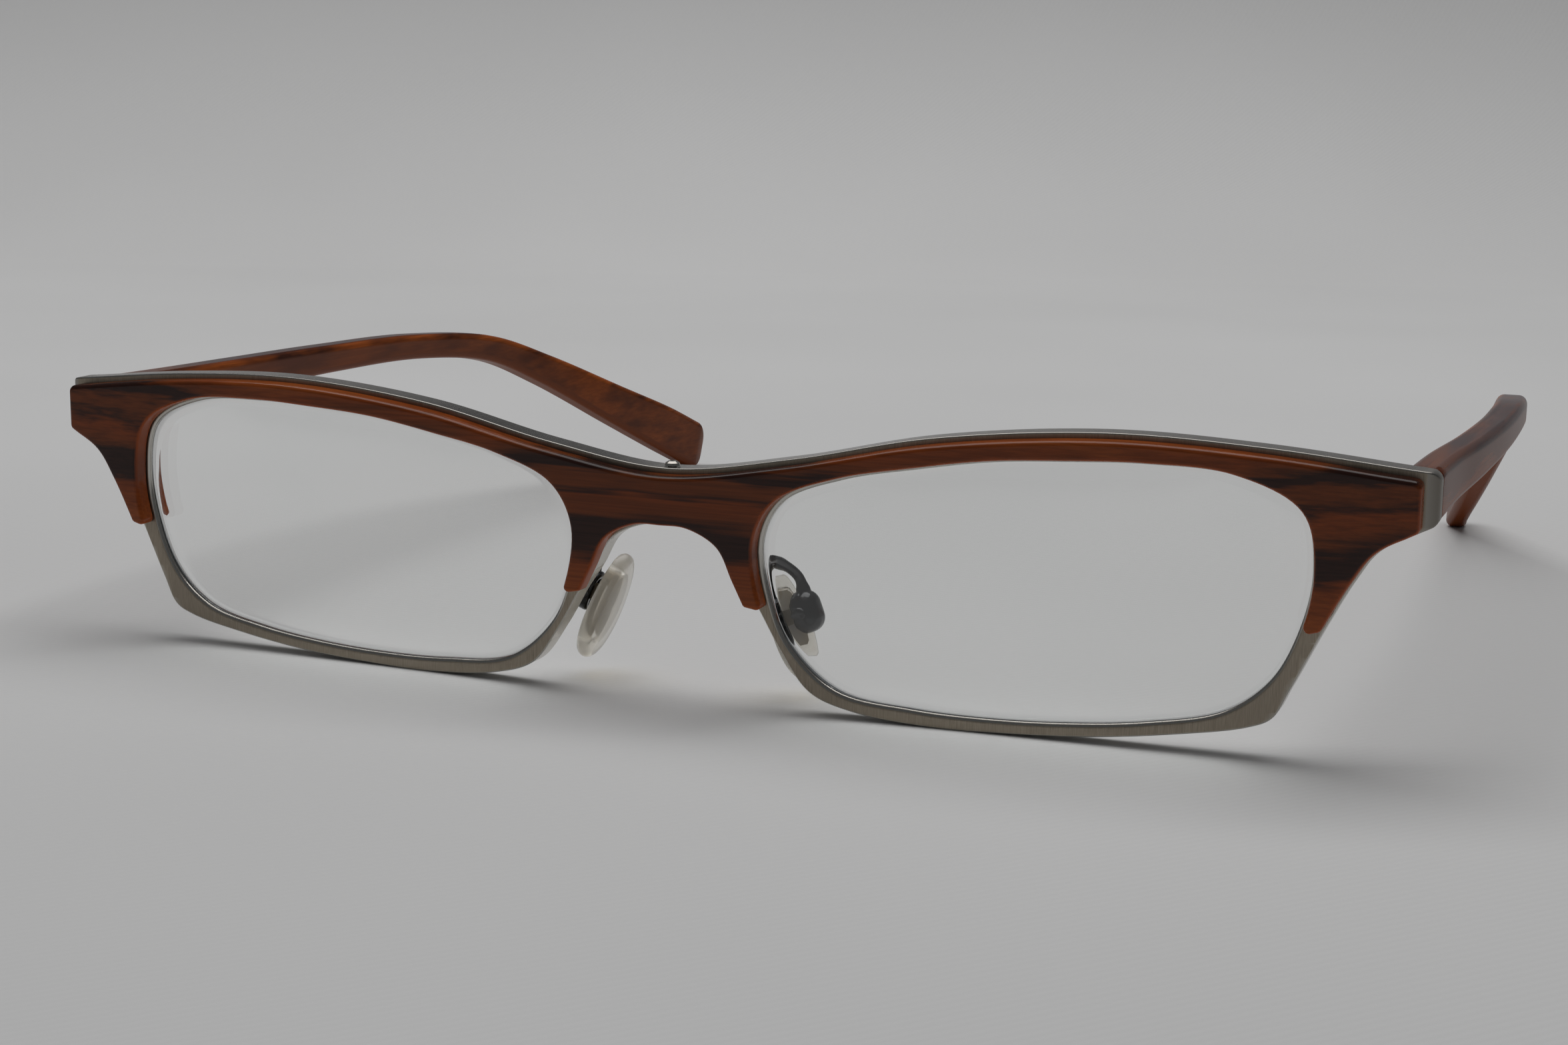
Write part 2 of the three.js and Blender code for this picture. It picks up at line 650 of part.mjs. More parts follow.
function padInsert() {
  const lug = block(-0.55, 0.55, -0.7, 0.7, -0.8, padPlateFront + 0.3);
  const plateSolid = insertPlate(0, padPlateFront + 0.05, padPlateFront + 0.05 + insertThickness);
  return cut(join(lug, plateSolid), alongLocalX(padScrewHoleRadius, -1, 1));
}

function padBox() {
  const [w, h] = padBoxSize.map((size) => size / 2);
  const [cavityW, cavityH] = padCavitySize.map((size) => size / 2);
  const body = block(-w, w, -h, h, ...padBoxDepths);
  const cavity = block(-cavityW, cavityW, -cavityH, cavityH, padCavityFloor, 1);
  return cut(body, cavity, alongLocalX(padScrewHoleRadius, -2, 2));
}

// A bent wire from the back of the metal's column, over and down into the top end of the pad box.
function padArm() {
  const boxEnd = padBoxSize[1] / 2;
  const [aboveEnd, end] = [boxEnd + 1.2, boxEnd + 0.15].map(
    (y) => new THREE.Vector3(0, y, padArmLocalZ).applyMatrix4(padMatrix),
  );
  const path = new THREE.CatmullRomCurve3([
    new THREE.Vector3(8.8, metalDepth + wrapAt(8.8) + 0.15, -0.95),
    new THREE.Vector3(8.95, 3.6, -0.65),
    new THREE.Vector3(9.05, 4.6, -0.55),
    new THREE.Vector3(9.4, 5.6, -1.1),
    aboveEnd, end,
  ], false, 'centripetal');
  const section = new THREE.Shape();
  section.absarc(0, 0, padArmRadius, 0, 2 * Math.PI);
  return new THREE.ExtrudeGeometry(section, { steps: 20, extrudePath: path, curveSegments: 5 });
}

// ---- Assembly ----------------------------------------------------------------------------------
const glasses = new THREE.Group();

function addMesh(parent, name, geometry, material) {
  const mesh = new THREE.Mesh(geometry, material);
  mesh.name = name;
  parent.add(mesh);
  return mesh;
}

// Adds NAME_left as drawn and NAME_right as its mirror image, each placed by `matrix` and its mirror.
function addPair(name, geometry, material, matrix = new THREE.Matrix4()) {
  const left = addMesh(glasses, name.replace('SIDE', 'left'), geometry, material);
  matrix.decompose(left.position, left.quaternion, left.scale);
  const right = addMesh(glasses, name.replace('SIDE', 'right'), mirroredInX(geometry), material.clone());
  right.position.set(-left.position.x, left.position.y, left.position.z);
  right.quaternion.set(left.quaternion.x, -left.quaternion.y, -left.quaternion.z, left.quaternion.w);
}

addMesh(glasses, 'metal_front', metalFront(), brushedMetal());
addMesh(glasses, 'front_brow', frontBrow(), acetate());
addMesh(glasses, 'rear_bridge', rearBridge(), acetate());
addPair('rear_end_SIDE', rearEnd(), acetate());
addPair('lens_SIDE', lens(), lensPlastic());

const bridgeScrew = addMesh(glasses, 'bridge_screw', roundHeaded(
  bridgeScrewHead.radius, bridgeScrewHead.height, bridgeScrewShank.radius, bridgeScrewShank.length,
), brushedMetal());
bridgeScrew.position.set(0, metalDepth / 2, bridgeScrewZ);

const leafTurn = new THREE.Matrix4().makeRotationZ(Math.atan(wrapSlope(hingeX)));
const frontHinge = leafTurn.clone().setPosition(pivot);
const templeHinge = new THREE.Matrix4().setPosition(pivot);
addPair('hinge_front_SIDE', frontLeaf(), steel(), frontHinge);
addPair('hinge_temple_SIDE', templeLeaf(), steel(), templeHinge);
const hingeScrew = roundHeaded(0.95, 0.35, screwRadius, 2 * barrelHalf - 0.1, 0.25);
const hingeScrewPlace = pivot.clone().setZ(pivot.z + barrelHalf + 0.05);
addPair('hinge_screw_SIDE', hingeScrew, steel(), new THREE.Matrix4().setPosition(hingeScrewPlace));

frontRivets.forEach(([x, z], k) => {
  const place = new THREE.Matrix4().makeRotationX(-Math.PI / 2);
  place.setPosition(x, 0.05 - leafSpan[0], z).premultiply(frontHinge);
  addPair(`end_rivet_SIDE_${k + 1}`, roundHeaded(rivetHeadRadius, 0.25, rivetRadius, 2.05), steel(), place);
});
templeRivetYs.forEach((y, k) => {
  const place = new THREE.Matrix4().makeRotationY(-Math.PI / 2);
  place.setPosition(leafSpan[0] - 0.05, y, 0).premultiply(templeHinge);
  addPair(`temple_rivet_SIDE_${k + 1}`, roundHeaded(rivetHeadRadius, 0.25, rivetRadius, 1.3), steel(), place);
});

addPair('temple_SIDE', temple(), acetate());
addPair('core_wire_SIDE', alongTemple(coreWireRadius, 1.5, 0.8), steel());

addPair('nose_pad_SIDE', nosePad(), clearSilicone(), padMatrix);
addPair('pad_insert_SIDE', padInsert(), insertPlastic(), padMatrix);
addPair('pad_box_SIDE', padBox(), darkMetal(), padMatrix);
const padScrewPlace = new THREE.Matrix4().makeRotationY(Math.PI / 2);
padScrewPlace.setPosition(1.7, 0, padScrewZ).premultiply(padMatrix);
addPair('pad_screw_SIDE', roundHeaded(0.6, 0.25, padScrewRadius, 3.3, 0.2), steel(), padScrewPlace);
addPair('pad_arm_SIDE', padArm(), darkMetal());

// The glasses stand on the rims' lower edges and the temple tips, with the origin between them.
function lowestPoint(name, angle) {
  const corners = glasses.getObjectByName(name).geometry.getAttribute('position');
  const heightOf = (p) => p.y * Math.sin(angle) + p.z * Math.cos(angle);
  let lowest = new THREE.Vector3().fromBufferAttribute(corners, 0);
  for (let i = 1; i < corners.count; i += 1) {
    const p = new THREE.Vector3().fromBufferAttribute(corners, i);
    if (heightOf(p) < heightOf(lowest)) lowest = p;
  }
  return lowest;
}

function standingTilt() {
  let angle = 0;
  for (let k = 0; k < 4; k += 1) {
    const rim = lowestPoint('metal_front', angle);
    const tip = lowestPoint('temple_left', angle);
    angle = Math.atan2(rim.z - tip.z, tip.y - rim.y);
  }
  return angle;
}

glasses.rotation.x = standingTilt();
const standing = new THREE.Group();
standing.add(glasses);
const box = new THREE.Box3().setFromObject(standing, true);
glasses.position.y -= (box.min.y + box.max.y) / 2;
glasses.position.z -= box.min.z;

export default standing;
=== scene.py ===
"""Half-rim eyeglasses: the looks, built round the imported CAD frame.

Lengths are in mm, unless a name or a comment says metres. "left" is the wearer's left, +X.
"""

import json
import math

import bmesh
import bpy
from mathutils import Matrix, Vector
from mathutils.geometry import tessellate_polygon


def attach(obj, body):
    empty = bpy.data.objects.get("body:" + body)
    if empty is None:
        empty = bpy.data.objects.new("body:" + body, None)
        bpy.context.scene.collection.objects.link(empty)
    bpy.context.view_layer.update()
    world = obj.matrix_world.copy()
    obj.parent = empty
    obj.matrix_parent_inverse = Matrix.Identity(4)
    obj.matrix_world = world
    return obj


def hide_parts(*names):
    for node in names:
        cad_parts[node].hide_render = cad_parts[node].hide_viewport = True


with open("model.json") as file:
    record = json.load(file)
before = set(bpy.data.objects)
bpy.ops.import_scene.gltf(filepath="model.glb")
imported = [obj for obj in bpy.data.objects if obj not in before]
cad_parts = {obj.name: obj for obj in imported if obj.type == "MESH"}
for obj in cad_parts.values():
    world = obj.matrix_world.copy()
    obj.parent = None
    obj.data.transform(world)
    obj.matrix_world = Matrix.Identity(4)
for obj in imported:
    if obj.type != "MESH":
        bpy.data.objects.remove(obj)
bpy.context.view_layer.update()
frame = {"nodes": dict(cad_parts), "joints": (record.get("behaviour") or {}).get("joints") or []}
MM = 0.001
SIDES = {"left": 1, "right": -1}

# ---- Driving dimensions, the same as the CAD model's -------------------------------------------
WRAP_RATE = 0.00087
METAL_HALF_WIDTH = 67.9
METAL_DEPTH = 2.4
METAL_CORNER_RADIUS = 1.2
BROW_HALF_WIDTH = 66.7
BROW_DEPTH = 1.8
METAL_SHOWS_ABOVE = 0.5
METAL_SHOWS_AT_SIDES = 0.15
OPENING_LIP = 0.35
BACKING_DEPTH = 1.4
LAYER_GAP = 0.1
GROOVE_DEPTH = 0.5
GROOVE_WIDTH = 1.4
LENS_THICKNESS = 1.2
LENS_EDGE_THICKNESS = 0.7
LENS_IN_GROOVE = 0.28
HINGE_X = 62.9
HINGE_Z = 8.5
BARREL_RADIUS = 1.25
TEMPLE_OUTER_X = 67.7
TEMPLE_THICKNESS = 3.3
PAD_LENGTH = 11
PAD_WIDTH = 6.8
PAD_THICKNESS = 1.9
PAD_FRONTAL_TILT = math.radians(22)
PAD_SPLAY = math.radians(3)
PAD_LEAN_BACK = 0.06
PAD_BOX_CENTRE = Vector((11, 7.1, -5.8))
PAD_ARM_RADIUS = 0.48

# ---- How finely the shapes are drawn ------------------------------------------------------------
# Steps between two points of a curve and round a corner, and the distance between the columns
# at which the front is bent.
STEPS_PER_SPAN = 10
CORNER_STEPS = 8
TUBE_SIDES = 20
PAD_SIDES = 64
WRAP_COLUMN = 1.5
NORMAL_WEIGHT = 80


def wrap_at(x):
    return WRAP_RATE * x * x


# ---- From the drawing to the row frame ----------------------------------------------------------
# In the drawing the front stands upright, with its metal's front face at y = 0 on the centre line.
# The glasses then lean until they stand on rims and temple tips; the left hinge shows by how much.
def drawing_to_row():
    fold = next(j for j in frame["joints"] if j["name"] == "temple_left_fold")
    lean = math.atan2(-fold["axis"][1], fold["axis"][2])
    backing_back = METAL_DEPTH + LAYER_GAP + BACKING_DEPTH
    pivot_y = backing_back + wrap_at(HINGE_X) + LAYER_GAP + BARREL_RADIUS
    pivot = Vector((HINGE_X, pivot_y, HINGE_Z))
    to_pivot = Matrix.Translation(Vector(fold["pos_m"]))
    return to_pivot @ Matrix.Rotation(lean, 4, "X") @ Matrix.Scale(MM, 4) @ Matrix.Translation(-pivot)


DRAWING = drawing_to_row()


# ---- Curves ------------------------------------------------------------------------------------
def smooth(points, closed=False, steps=STEPS_PER_SPAN):
    """A centripetal Catmull-Rom curve through the points, as vectors."""
    given = [Vector(p) for p in points]
    if closed:
        around = [given[-1], *given, given[0], given[1]]
    else:
        around = [given[0] * 2 - given[1], *given, given[-1] * 2 - given[-2]]
    result = []
    for p0, p1, p2, p3 in zip(around, around[1:], around[2:], around[3:]):
        d0, d1, d2 = [max((b - a).length, 1e-6) ** 0.5 for a, b in ((p0, p1), (p1, p2), (p2, p3))]
        m1 = ((p1 - p0) / d0 - (p2 - p0) / (d0 + d1) + (p2 - p1) / d1) * d1
        m2 = ((p2 - p1) / d1 - (p3 - p1) / (d1 + d2) + (p3 - p2) / d2) * d1
        for k in range(steps):
            s = k / steps
            result.append(
                p1 * (2 * s**3 - 3 * s**2 + 1) + m1 * (s**3 - 2 * s**2 + s)
                + p2 * (3 * s**2 - 2 * s**3) + m2 * (s**3 - s**2)
            )
    if not closed:
        result.append(given[-1])
    return result


def mirrored(run):
    return [Vector((-p.x, p.y)) for p in reversed(run)]


def smooth_across(points):
    """A curve through points that start on the centre line, continued over to the other side."""
    return smooth([(-x, z) for x, z in reversed(points[1:])] + list(points))


def offset_run(run, distance, closed=False):
    """The run moved sideways: to the left of its direction for a positive distance."""
    count = len(run)
    moved = []
    for i, p in enumerate(run):
        before = run[(i - 1) % count] if closed else run[max(i - 1, 0)]
        after = run[(i + 1) % count] if closed else run[min(i + 1, count - 1)]
        along = (after - before).normalized()
        moved.append(Vector((p.x - along.y * distance, p.y + along.x * distance)))
    return moved


def rounded_corner(before, corner, after, radius):
    """An arc in place of the corner between two runs."""
    back = (before - corner).normalized()
    ahead = (after - corner).normalized()
    half = math.acos(max(-1, min(1, back.dot(ahead)))) / 2
    centre = corner + (back + ahead).normalized() * (radius / math.sin(half))
    spoke = corner + back * (radius / math.tan(half)) - centre
    cross = back.x * ahead.y - back.y * ahead.x
    turn = -math.copysign(math.pi - 2 * half, cross)
    turns = [turn * k / CORNER_STEPS for k in range(CORNER_STEPS + 1)]
    return [centre + Matrix.Rotation(angle, 2) @ spoke for angle in turns]


# ---- Outlines of the front, drawn for x > 0 -----------------------------------------------------
OPENING_UPPER = [
    (57.1, -2.3), (58.0, 3.0), (56.9, 7.9), (51.4, 10.6), (44, 11.15), (37.3, 10.95), (30.4, 10.5),
    (23.5, 9.4), (16.9, 8.05), (11.3, 5.7), (9.35, 2), (10.3, -4.1),
]
OPENING_LOWER = [
    (12.1, -7.75), (16.4, -11.3), (23.4, -12.3), (30.4, -12.5), (37.8, -12.2), (44.6, -11.45),
    (51.2, -9.9), (54.9, -6.9),
]
METAL_TOP_EDGE = [(0, 7.97), (11.9, 9.6), (25, 12.35), (40, 13.7), (53.4, 13.2), (66.6, 11.85)]
METAL_END_LOWER = [(66.7, 6.75), (63.4, 4.9), (61.5, 2.2), (59.25, -2.05)]
METAL_LOWER_RIM = [
    (56.6, -7.6), (55.2, -10.2), (53.2, -11.15), (46.8, -12.35), (39.5, -13.25), (32.3, -13.65),
    (25.2, -13.75), (18, -13.05), (13.9, -11.6), (11.2, -8.1), (9.15, -4.6),
]
METAL_ARCH = [(0, 2.62), (2.6, 2.5), (5.6, 1.0), (7.35, -1.9), (8.9, -4.2)]
BROW_ARCH = [(0, 2.92), (2.6, 2.8), (5.5, 1.3), (7.0, -1.6), (8.15, -3.9)]

opening = smooth(OPENING_UPPER + OPENING_LOWER, closed=True)
opening_under_brow = opening[: (len(OPENING_UPPER) - 1) * STEPS_PER_SPAN + 1]
metal_side = smooth(METAL_END_LOWER + METAL_LOWER_RIM)
brow_end_count = (len(METAL_END_LOWER) - 1) * STEPS_PER_SPAN + 1


def metal_outline():
    top = smooth_across(METAL_TOP_EDGE)
    upper = Vector((METAL_HALF_WIDTH, 11.7))
    lower = Vector((METAL_HALF_WIDTH, 7.3))
    right = rounded_corner(top[-1], upper, lower, 1.0)
    right += rounded_corner(upper, lower, metal_side[0], 0.8)
    right += metal_side
    return top + right + smooth_across(METAL_ARCH)[::-1] + mirrored(right)


def brow_outline():
    brow_top = [(min(x, BROW_HALF_WIDTH - 0.9), z - METAL_SHOWS_ABOVE) for x, z in METAL_TOP_EDGE]
    top = smooth_across(brow_top)
    outer = offset_run(metal_side, -METAL_SHOWS_AT_SIDES)[:brow_end_count]
    inner = offset_run(opening_under_brow, -OPENING_LIP)
    arch = smooth_across(BROW_ARCH)
    upper = Vector((BROW_HALF_WIDTH, 11.2))
    lower = Vector((BROW_HALF_WIDTH, 6.95))
    right = rounded_corner(top[-1], upper, lower, 0.7)
    right += rounded_corner(upper, lower, outer[3], 0.6)
    right += outer[3:-2]
    right += rounded_corner(outer[-3], outer[-1], inner[0], 0.55)
    right += rounded_corner(outer[-1], inner[0], inner[3], 0.55)
    right += inner[3:-3]
    right += rounded_corner(inner[-4], inner[-1], arch[-1], 0.45)
    right += rounded_corner(inner[-1], arch[-1], arch[-4], 0.45)
    return top + right + arch[1:-1][::-1] + mirrored(right)


# ---- Mesh builders -----------------------------------------------------------------------------
def object_from(bm, name, body, nodes):
    """Makes the piece that stands for the CAD nodes and rides on the body."""
    bmesh.ops.recalc_face_normals(bm, faces=bm.faces)
    for face in bm.faces:
        face.smooth = True
    mesh = bpy.data.meshes.new(name)
    bm.to_mesh(mesh)
    bm.free()
    piece = bpy.data.objects.new(name, mesh)
    bpy.context.scene.collection.objects.link(piece)
    weighted = piece.modifiers.new("Weighted normals", "WEIGHTED_NORMAL")
    weighted.weight = NORMAL_WEIGHT
    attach(piece, body)
    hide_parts(*nodes)
    return piece


def oriented(loop, counter_clockwise):
    area = sum(a.x * b.y - b.x * a.y for a, b in zip(loop, loop[1:] + loop[:1]))
    return loop if (area > 0) == counter_clockwise else loop[::-1]


def tidy_loop(loop, least=0.03):
    """The closed loop without points that nearly repeat the one before."""
    kept = [loop[0]]
    for p in loop[1:]:
        if (p - kept[-1]).length > least:
            kept.append(p)
    if (kept[-1] - kept[0]).length <= least:
        kept.pop()
    return kept


def edge_profile(front, back, front_round, back_round, steps=5):
    """Inset and depth of a wall from the front face to the back face, with elliptic roundings."""
    (front_in, front_deep), (back_in, back_deep) = front_round, back_round
    angles = [k / steps * math.pi / 2 for k in range(steps + 1)]
    profile = [(front_in * (1 - math.sin(a)), front + front_deep * (1 - math.cos(a))) for a in angles]
    profile += [(back_in * (1 - math.cos(a)), back - back_deep * (1 - math.sin(a))) for a in angles]
    return profile


def plate_mesh(outer, holes, outer_profile, hole_profile=None, wrap=True):
    """A plate between outlines, with walls of the given profiles, bent round the face."""
    bm = bmesh.new()
    loops = [(oriented(tidy_loop(outer), True), outer_profile)]
    loops += [(oriented(tidy_loop(hole), False), hole_profile) for hole in holes]
    caps = {0: [], -1: []}
    for loop, profile in loops:
        rings = []
        for inset, depth in profile:
            run = offset_run(loop, inset, closed=True)
            rings.append([bm.verts.new((p.x, depth, p.y)) for p in run])
        count = len(loop)
        for ring, following in zip(rings, rings[1:]):
            for k in range(count):
                bm.faces.new((ring[k], ring[(k + 1) % count], following[(k + 1) % count], following[k]))
        caps[0].append(rings[0])
        caps[-1].append(rings[-1])
    for rings in caps.values():
        corners = [v for ring in rings for v in ring]
        flat = [[Vector((v.co.x, v.co.z, 0)) for v in ring] for ring in rings]
        for trio in tessellate_polygon(flat):
            if len(set(trio)) == 3:
                bm.faces.new([corners[i] for i in trio])
    if wrap:
        wrap_round_face(bm)
    return bm


def cut_at(bm, x):
    """Adds the edges where the mesh crosses a plane square to X."""
    everything = bm.verts[:] + bm.edges[:] + bm.faces[:]
    bmesh.ops.bisect_plane(bm, geom=everything, dist=1e-5, plane_co=(x, 0, 0), plane_no=(1, 0, 0))


def wrap_round_face(bm):
    """Cuts the mesh at columns and moves each point back by the wrap."""
    reach = max(abs(v.co.x) for v in bm.verts)
    count = int(reach / WRAP_COLUMN)
    for k in range(-count, count + 1):
        cut_at(bm, k * WRAP_COLUMN)
    for v in bm.verts:
        v.co.y += wrap_at(v.co.x)


def skin_over(rings):
    """A closed skin over rings of points, with a fan at each end."""
    bm = bmesh.new()
    made = [[bm.verts.new(p) for p in ring] for ring in rings]
    count = len(rings[0])
    for ring, following in zip(made, made[1:]):
        for k in range(count):
            bm.faces.new((ring[k], ring[(k + 1) % count], following[(k + 1) % count], following[k]))
    for ring in (made[0], made[-1]):
        middle = bm.verts.new(sum((v.co for v in ring), Vector()) / count)
        for k in range(count):
            bm.faces.new((ring[k], ring[(k + 1) % count], middle))
    return bm


def into_row(bm, side=1):
    """Takes a mesh from the drawing to the row frame, mirrored for the right side."""
    if side < 0:
        bmesh.ops.scale(bm, vec=(-1, 1, 1), verts=bm.verts)
    bmesh.ops.transform(bm, matrix=DRAWING, verts=bm.verts)
    return bm


# ---- Front -------------------------------------------------------------------------------------
BACKING_FRONT = METAL_DEPTH + LAYER_GAP
BACKING_BACK = BACKING_FRONT + BACKING_DEPTH


def make_metal_front():
    lip = edge_profile(0, METAL_DEPTH, (0.42, 0.26), (0.15, 0.15))
    half = len(lip) // 2
    groove_front = (METAL_DEPTH - GROOVE_WIDTH) / 2
    groove_back = groove_front + GROOVE_WIDTH
    groove = [
        (0, groove_front), (GROOVE_DEPTH, groove_front), (GROOVE_DEPTH, groove_back), (0, groove_back),
    ]
    rim = lip[:half] + groove + lip[half:]
    outer = edge_profile(0, METAL_DEPTH, (0.12, 0.12), (0.15, 0.15), 3)
    bm = plate_mesh(metal_outline(), [opening, mirrored(opening)], outer, rim, wrap=False)
    round_ends(bm)
    wrap_round_face(bm)
    return object_from(into_row(bm), "metal_front_plate", "frame", ["metal_front"])


def round_ends(bm):
    """Rounds the vertical front corners at both ends of the metal, as seen from above."""
    start = METAL_HALF_WIDTH - METAL_CORNER_RADIUS
    steps = 9
    for side in SIDES.values():
        for k in range(steps):
            cut_at(bm, side * (start + METAL_CORNER_RADIUS * math.sin(k / steps * math.pi / 2)))
    for v in bm.verts:
        beyond = min(abs(v.co.x) - start, METAL_CORNER_RADIUS)
        if beyond > 0:
            front = METAL_CORNER_RADIUS - math.sqrt(max(METAL_CORNER_RADIUS**2 - beyond**2, 0))
            v.co.y = front + v.co.y * (METAL_DEPTH - front) / METAL_DEPTH


def make_brow():
    back = -LAYER_GAP
    edge = edge_profile(back - BROW_DEPTH, back, (0.4, 0.5), (0.1, 0.1), 6)
    bm = plate_mesh(brow_outline(), [], edge)
    return object_from(into_row(bm), "brow_acetate", "frame", ["front_brow"])


def make_rear_bridge():
    lower = [(0, 3.3), (2.4, 3.3), (4.9, 2.4), (6.6, 1.9)]
    upper = [(0, 7.4), (5, 7.95), (8.8, 8.4)]
    end = [(8.8, 8.4), (9.5, 7.6), (8.3, 5.2), (7.6, 3), (6.6, 1.9)]
    side = smooth(end)[1:-1]
    outline = smooth_across(upper) + side + smooth_across(lower)[::-1] + mirrored(side)
    edge = edge_profile(BACKING_FRONT, BACKING_BACK, (0.08, 0.08), (0.35, 0.4))
    bm = plate_mesh(outline, [], edge)
    return object_from(into_row(bm), "bridge_backing", "frame", ["rear_bridge"])


def make_rear_end(name, side):
    outer = offset_run(metal_side, -METAL_SHOWS_AT_SIDES)[3:brow_end_count]
    inner = offset_run(opening, -OPENING_LIP, closed=True)[: 2 * STEPS_PER_SPAN + 1]
    top = smooth([(53.2, 12.2), (60, 11.9), (66.2, 11.4)])
    outline = list(top)
    outline += rounded_corner(top[-1], Vector((67.3, 11.2)), Vector((67.3, 7.4)), 0.5)
    outline += rounded_corner(Vector((67.3, 11.2)), Vector((67.3, 7.3)), outer[0], 0.4)
    outline += outer[:-2]
    outline += rounded_corner(outer[-3], outer[-1], inner[0], 0.5)
    outline += rounded_corner(outer[-1], inner[0], inner[3], 0.5)
    outline += inner[3:]
    edge = edge_profile(BACKING_FRONT, BACKING_BACK, (0.08, 0.08), (0.3, 0.35))
    bm = into_row(plate_mesh(outline, [], edge), side)
    return object_from(bm, f"end_backing_{name}", "frame", [f"rear_end_{name}"])


def make_lens(name, side):
    """A thin shell with a bevelled edge in the rim's groove, domed a little towards the front."""
    edge_loop = offset_run(opening, -LENS_IN_GROOVE, closed=True)
    middle = sum(edge_loop, Vector((0, 0))) / len(edge_loop)
    centre_depth = METAL_DEPTH / 2
    dome = 0.7
    shares = [0.02, 0.15, 0.3, 0.45, 0.6, 0.72, 0.83, 0.92, 0.965]
    front = [(s, centre_depth - LENS_THICKNESS / 2 - dome * (1 - s * s)) for s in shares]
    back = [(s, depth + LENS_THICKNESS) for s, depth in reversed(front)]
    edge = [(1, centre_depth - LENS_EDGE_THICKNESS / 2), (1, centre_depth + LENS_EDGE_THICKNESS / 2)]
    rings = []
    for share, depth in front + edge + back:
        run = [middle + (p - middle) * share for p in edge_loop]
        rings.append([Vector((p.x, depth + wrap_at(p.x), p.y)) for p in run])
    bm = into_row(skin_over(rings), side)
    return object_from(bm, f"demo_lens_{name}", "frame", [f"lens_{name}"])


# ---- Temples -----------------------------------------------------------------------------------
# Stations along the left temple: y and z of the centre line, height, thickness, inward offset.
TEMPLE_STATIONS = [
    (8, 9.1, 4.7, TEMPLE_THICKNESS, 0),
    (20, 8.85, 4.3, TEMPLE_THICKNESS, -0.2),
    (34, 8.55, 3.8, TEMPLE_THICKNESS, -0.9),
    (52, 8.15, 3.3, TEMPLE_THICKNESS, -1.3),
    (72, 7.35, 3.1, TEMPLE_THICKNESS, -0.7),
    (88, 5.3, 3.4, 3.2, 0.9),
    (100, 1.1, 4.2, 3.1, 3.1),
    (115, -5.5, 5.7, 2.9, 6.6),
    (126.5, -10.6, 6.8, 2.7, 9.4),
    (132.5, -13.4, 6.9, 2.6, 10.8),
]
TEMPLE_EDGE_RADIUS = 0.85
TEMPLE_BUTT_ROUND = 0.3
# How far the tip reaches past the last station, as a share of the height there.
TEMPLE_TIP_SHARE = 0.4
CORE_CHANNEL_RADIUS = 0.85
# How far the channel of the core wire runs along the temple.
CORE_CHANNEL_SHARE = 0.82


def rounded_section(width, height, radius):
    """The outline of a rectangle with rounded corners, about the origin."""
    section = []
    for sx, sz, start in ((1, 1, 0), (-1, 1, 1), (-1, -1, 2), (1, -1, 3)):
        for k in range(CORNER_STEPS + 1):
            angle = (start + k / CORNER_STEPS) * math.pi / 2
            x = sx * (width / 2 - radius) + radius * math.cos(angle)
            z = sz * (height / 2 - radius) + radius * math.sin(angle)
            section.append((x, z))
    return section


def round_section(radius, count):
    """A circle with as many points as a rounded section, and its first corner's middle at 45 degrees."""
    middle = CORNER_STEPS / 2
    angles = [(k - middle) / count * 2 * math.pi + math.pi / 4 for k in range(count)]
    return [(radius * math.cos(a), radius * math.sin(a)) for a in angles]


def make_temple(name, side):
    centre_x = TEMPLE_OUTER_X - TEMPLE_THICKNESS / 2
    line = smooth([(centre_x - inward, y, z) for y, z, _, _, inward in TEMPLE_STATIONS])
    last = len(line) - 1
    sizes = smooth([(thickness, height, 0) for _, _, height, thickness, _ in TEMPLE_STATIONS])
    butt_slope = 2 * WRAP_RATE * centre_x

    def ring_at(i, section, ahead=0):
        tangent = line[min(i + 1, last)] - line[max(i - 1, 0)]
        tangent = Vector((0, tangent.y, tangent.z)).normalized()
        up = Vector((0, -tangent.z, tangent.y))
        return [line[i] + tangent * ahead + up * z + Vector((x, 0, 0)) for x, z in section]

    def sloped(ring):
        return [p + Vector((0, butt_slope * (p.x - centre_x), 0)) for p in ring]

    width, height = TEMPLE_THICKNESS, TEMPLE_STATIONS[0][2]
    count = len(rounded_section(width, height, TEMPLE_EDGE_RADIUS))
    channel = round_section(CORE_CHANNEL_RADIUS, count)
    deepest = int(CORE_CHANNEL_SHARE * last)
    rings = [ring_at(i, channel) for i in range(deepest, 0, -3)]
    rings.append(sloped(ring_at(0, channel)))
    for k in range(4):
        angle = k / 3 * math.pi / 2
        shrink = TEMPLE_BUTT_ROUND * (1 - math.sin(angle))
        ahead = TEMPLE_BUTT_ROUND * (1 - math.cos(angle))
        section = rounded_section(width - 2 * shrink, height - 2 * shrink, TEMPLE_EDGE_RADIUS - shrink)
        rings.append(sloped(ring_at(0, section, ahead)))
    for i in range(2, last + 1):
        size = sizes[i]
        rings.append(ring_at(i, rounded_section(size.x, size.y, TEMPLE_EDGE_RADIUS)))
    # The tip is round as seen from the side, and gets thinner more slowly than it gets lower.
    end = sizes[-1]
    for degrees in range(10, 90, 8):
        angle = math.radians(degrees)
        w, h = end.x * math.cos(angle * 0.7), end.y * math.cos(angle)
        radius = min(TEMPLE_EDGE_RADIUS, w / 2, h / 2) * 0.98
        ahead = end.y * TEMPLE_TIP_SHARE * math.sin(angle)
        rings.append(ring_at(last, rounded_section(w, h, radius), ahead))
    bm = into_row(skin_over(rings), side)
    return object_from(bm, f"temple_acetate_{name}", f"temple_{name}", [f"temple_{name}"])


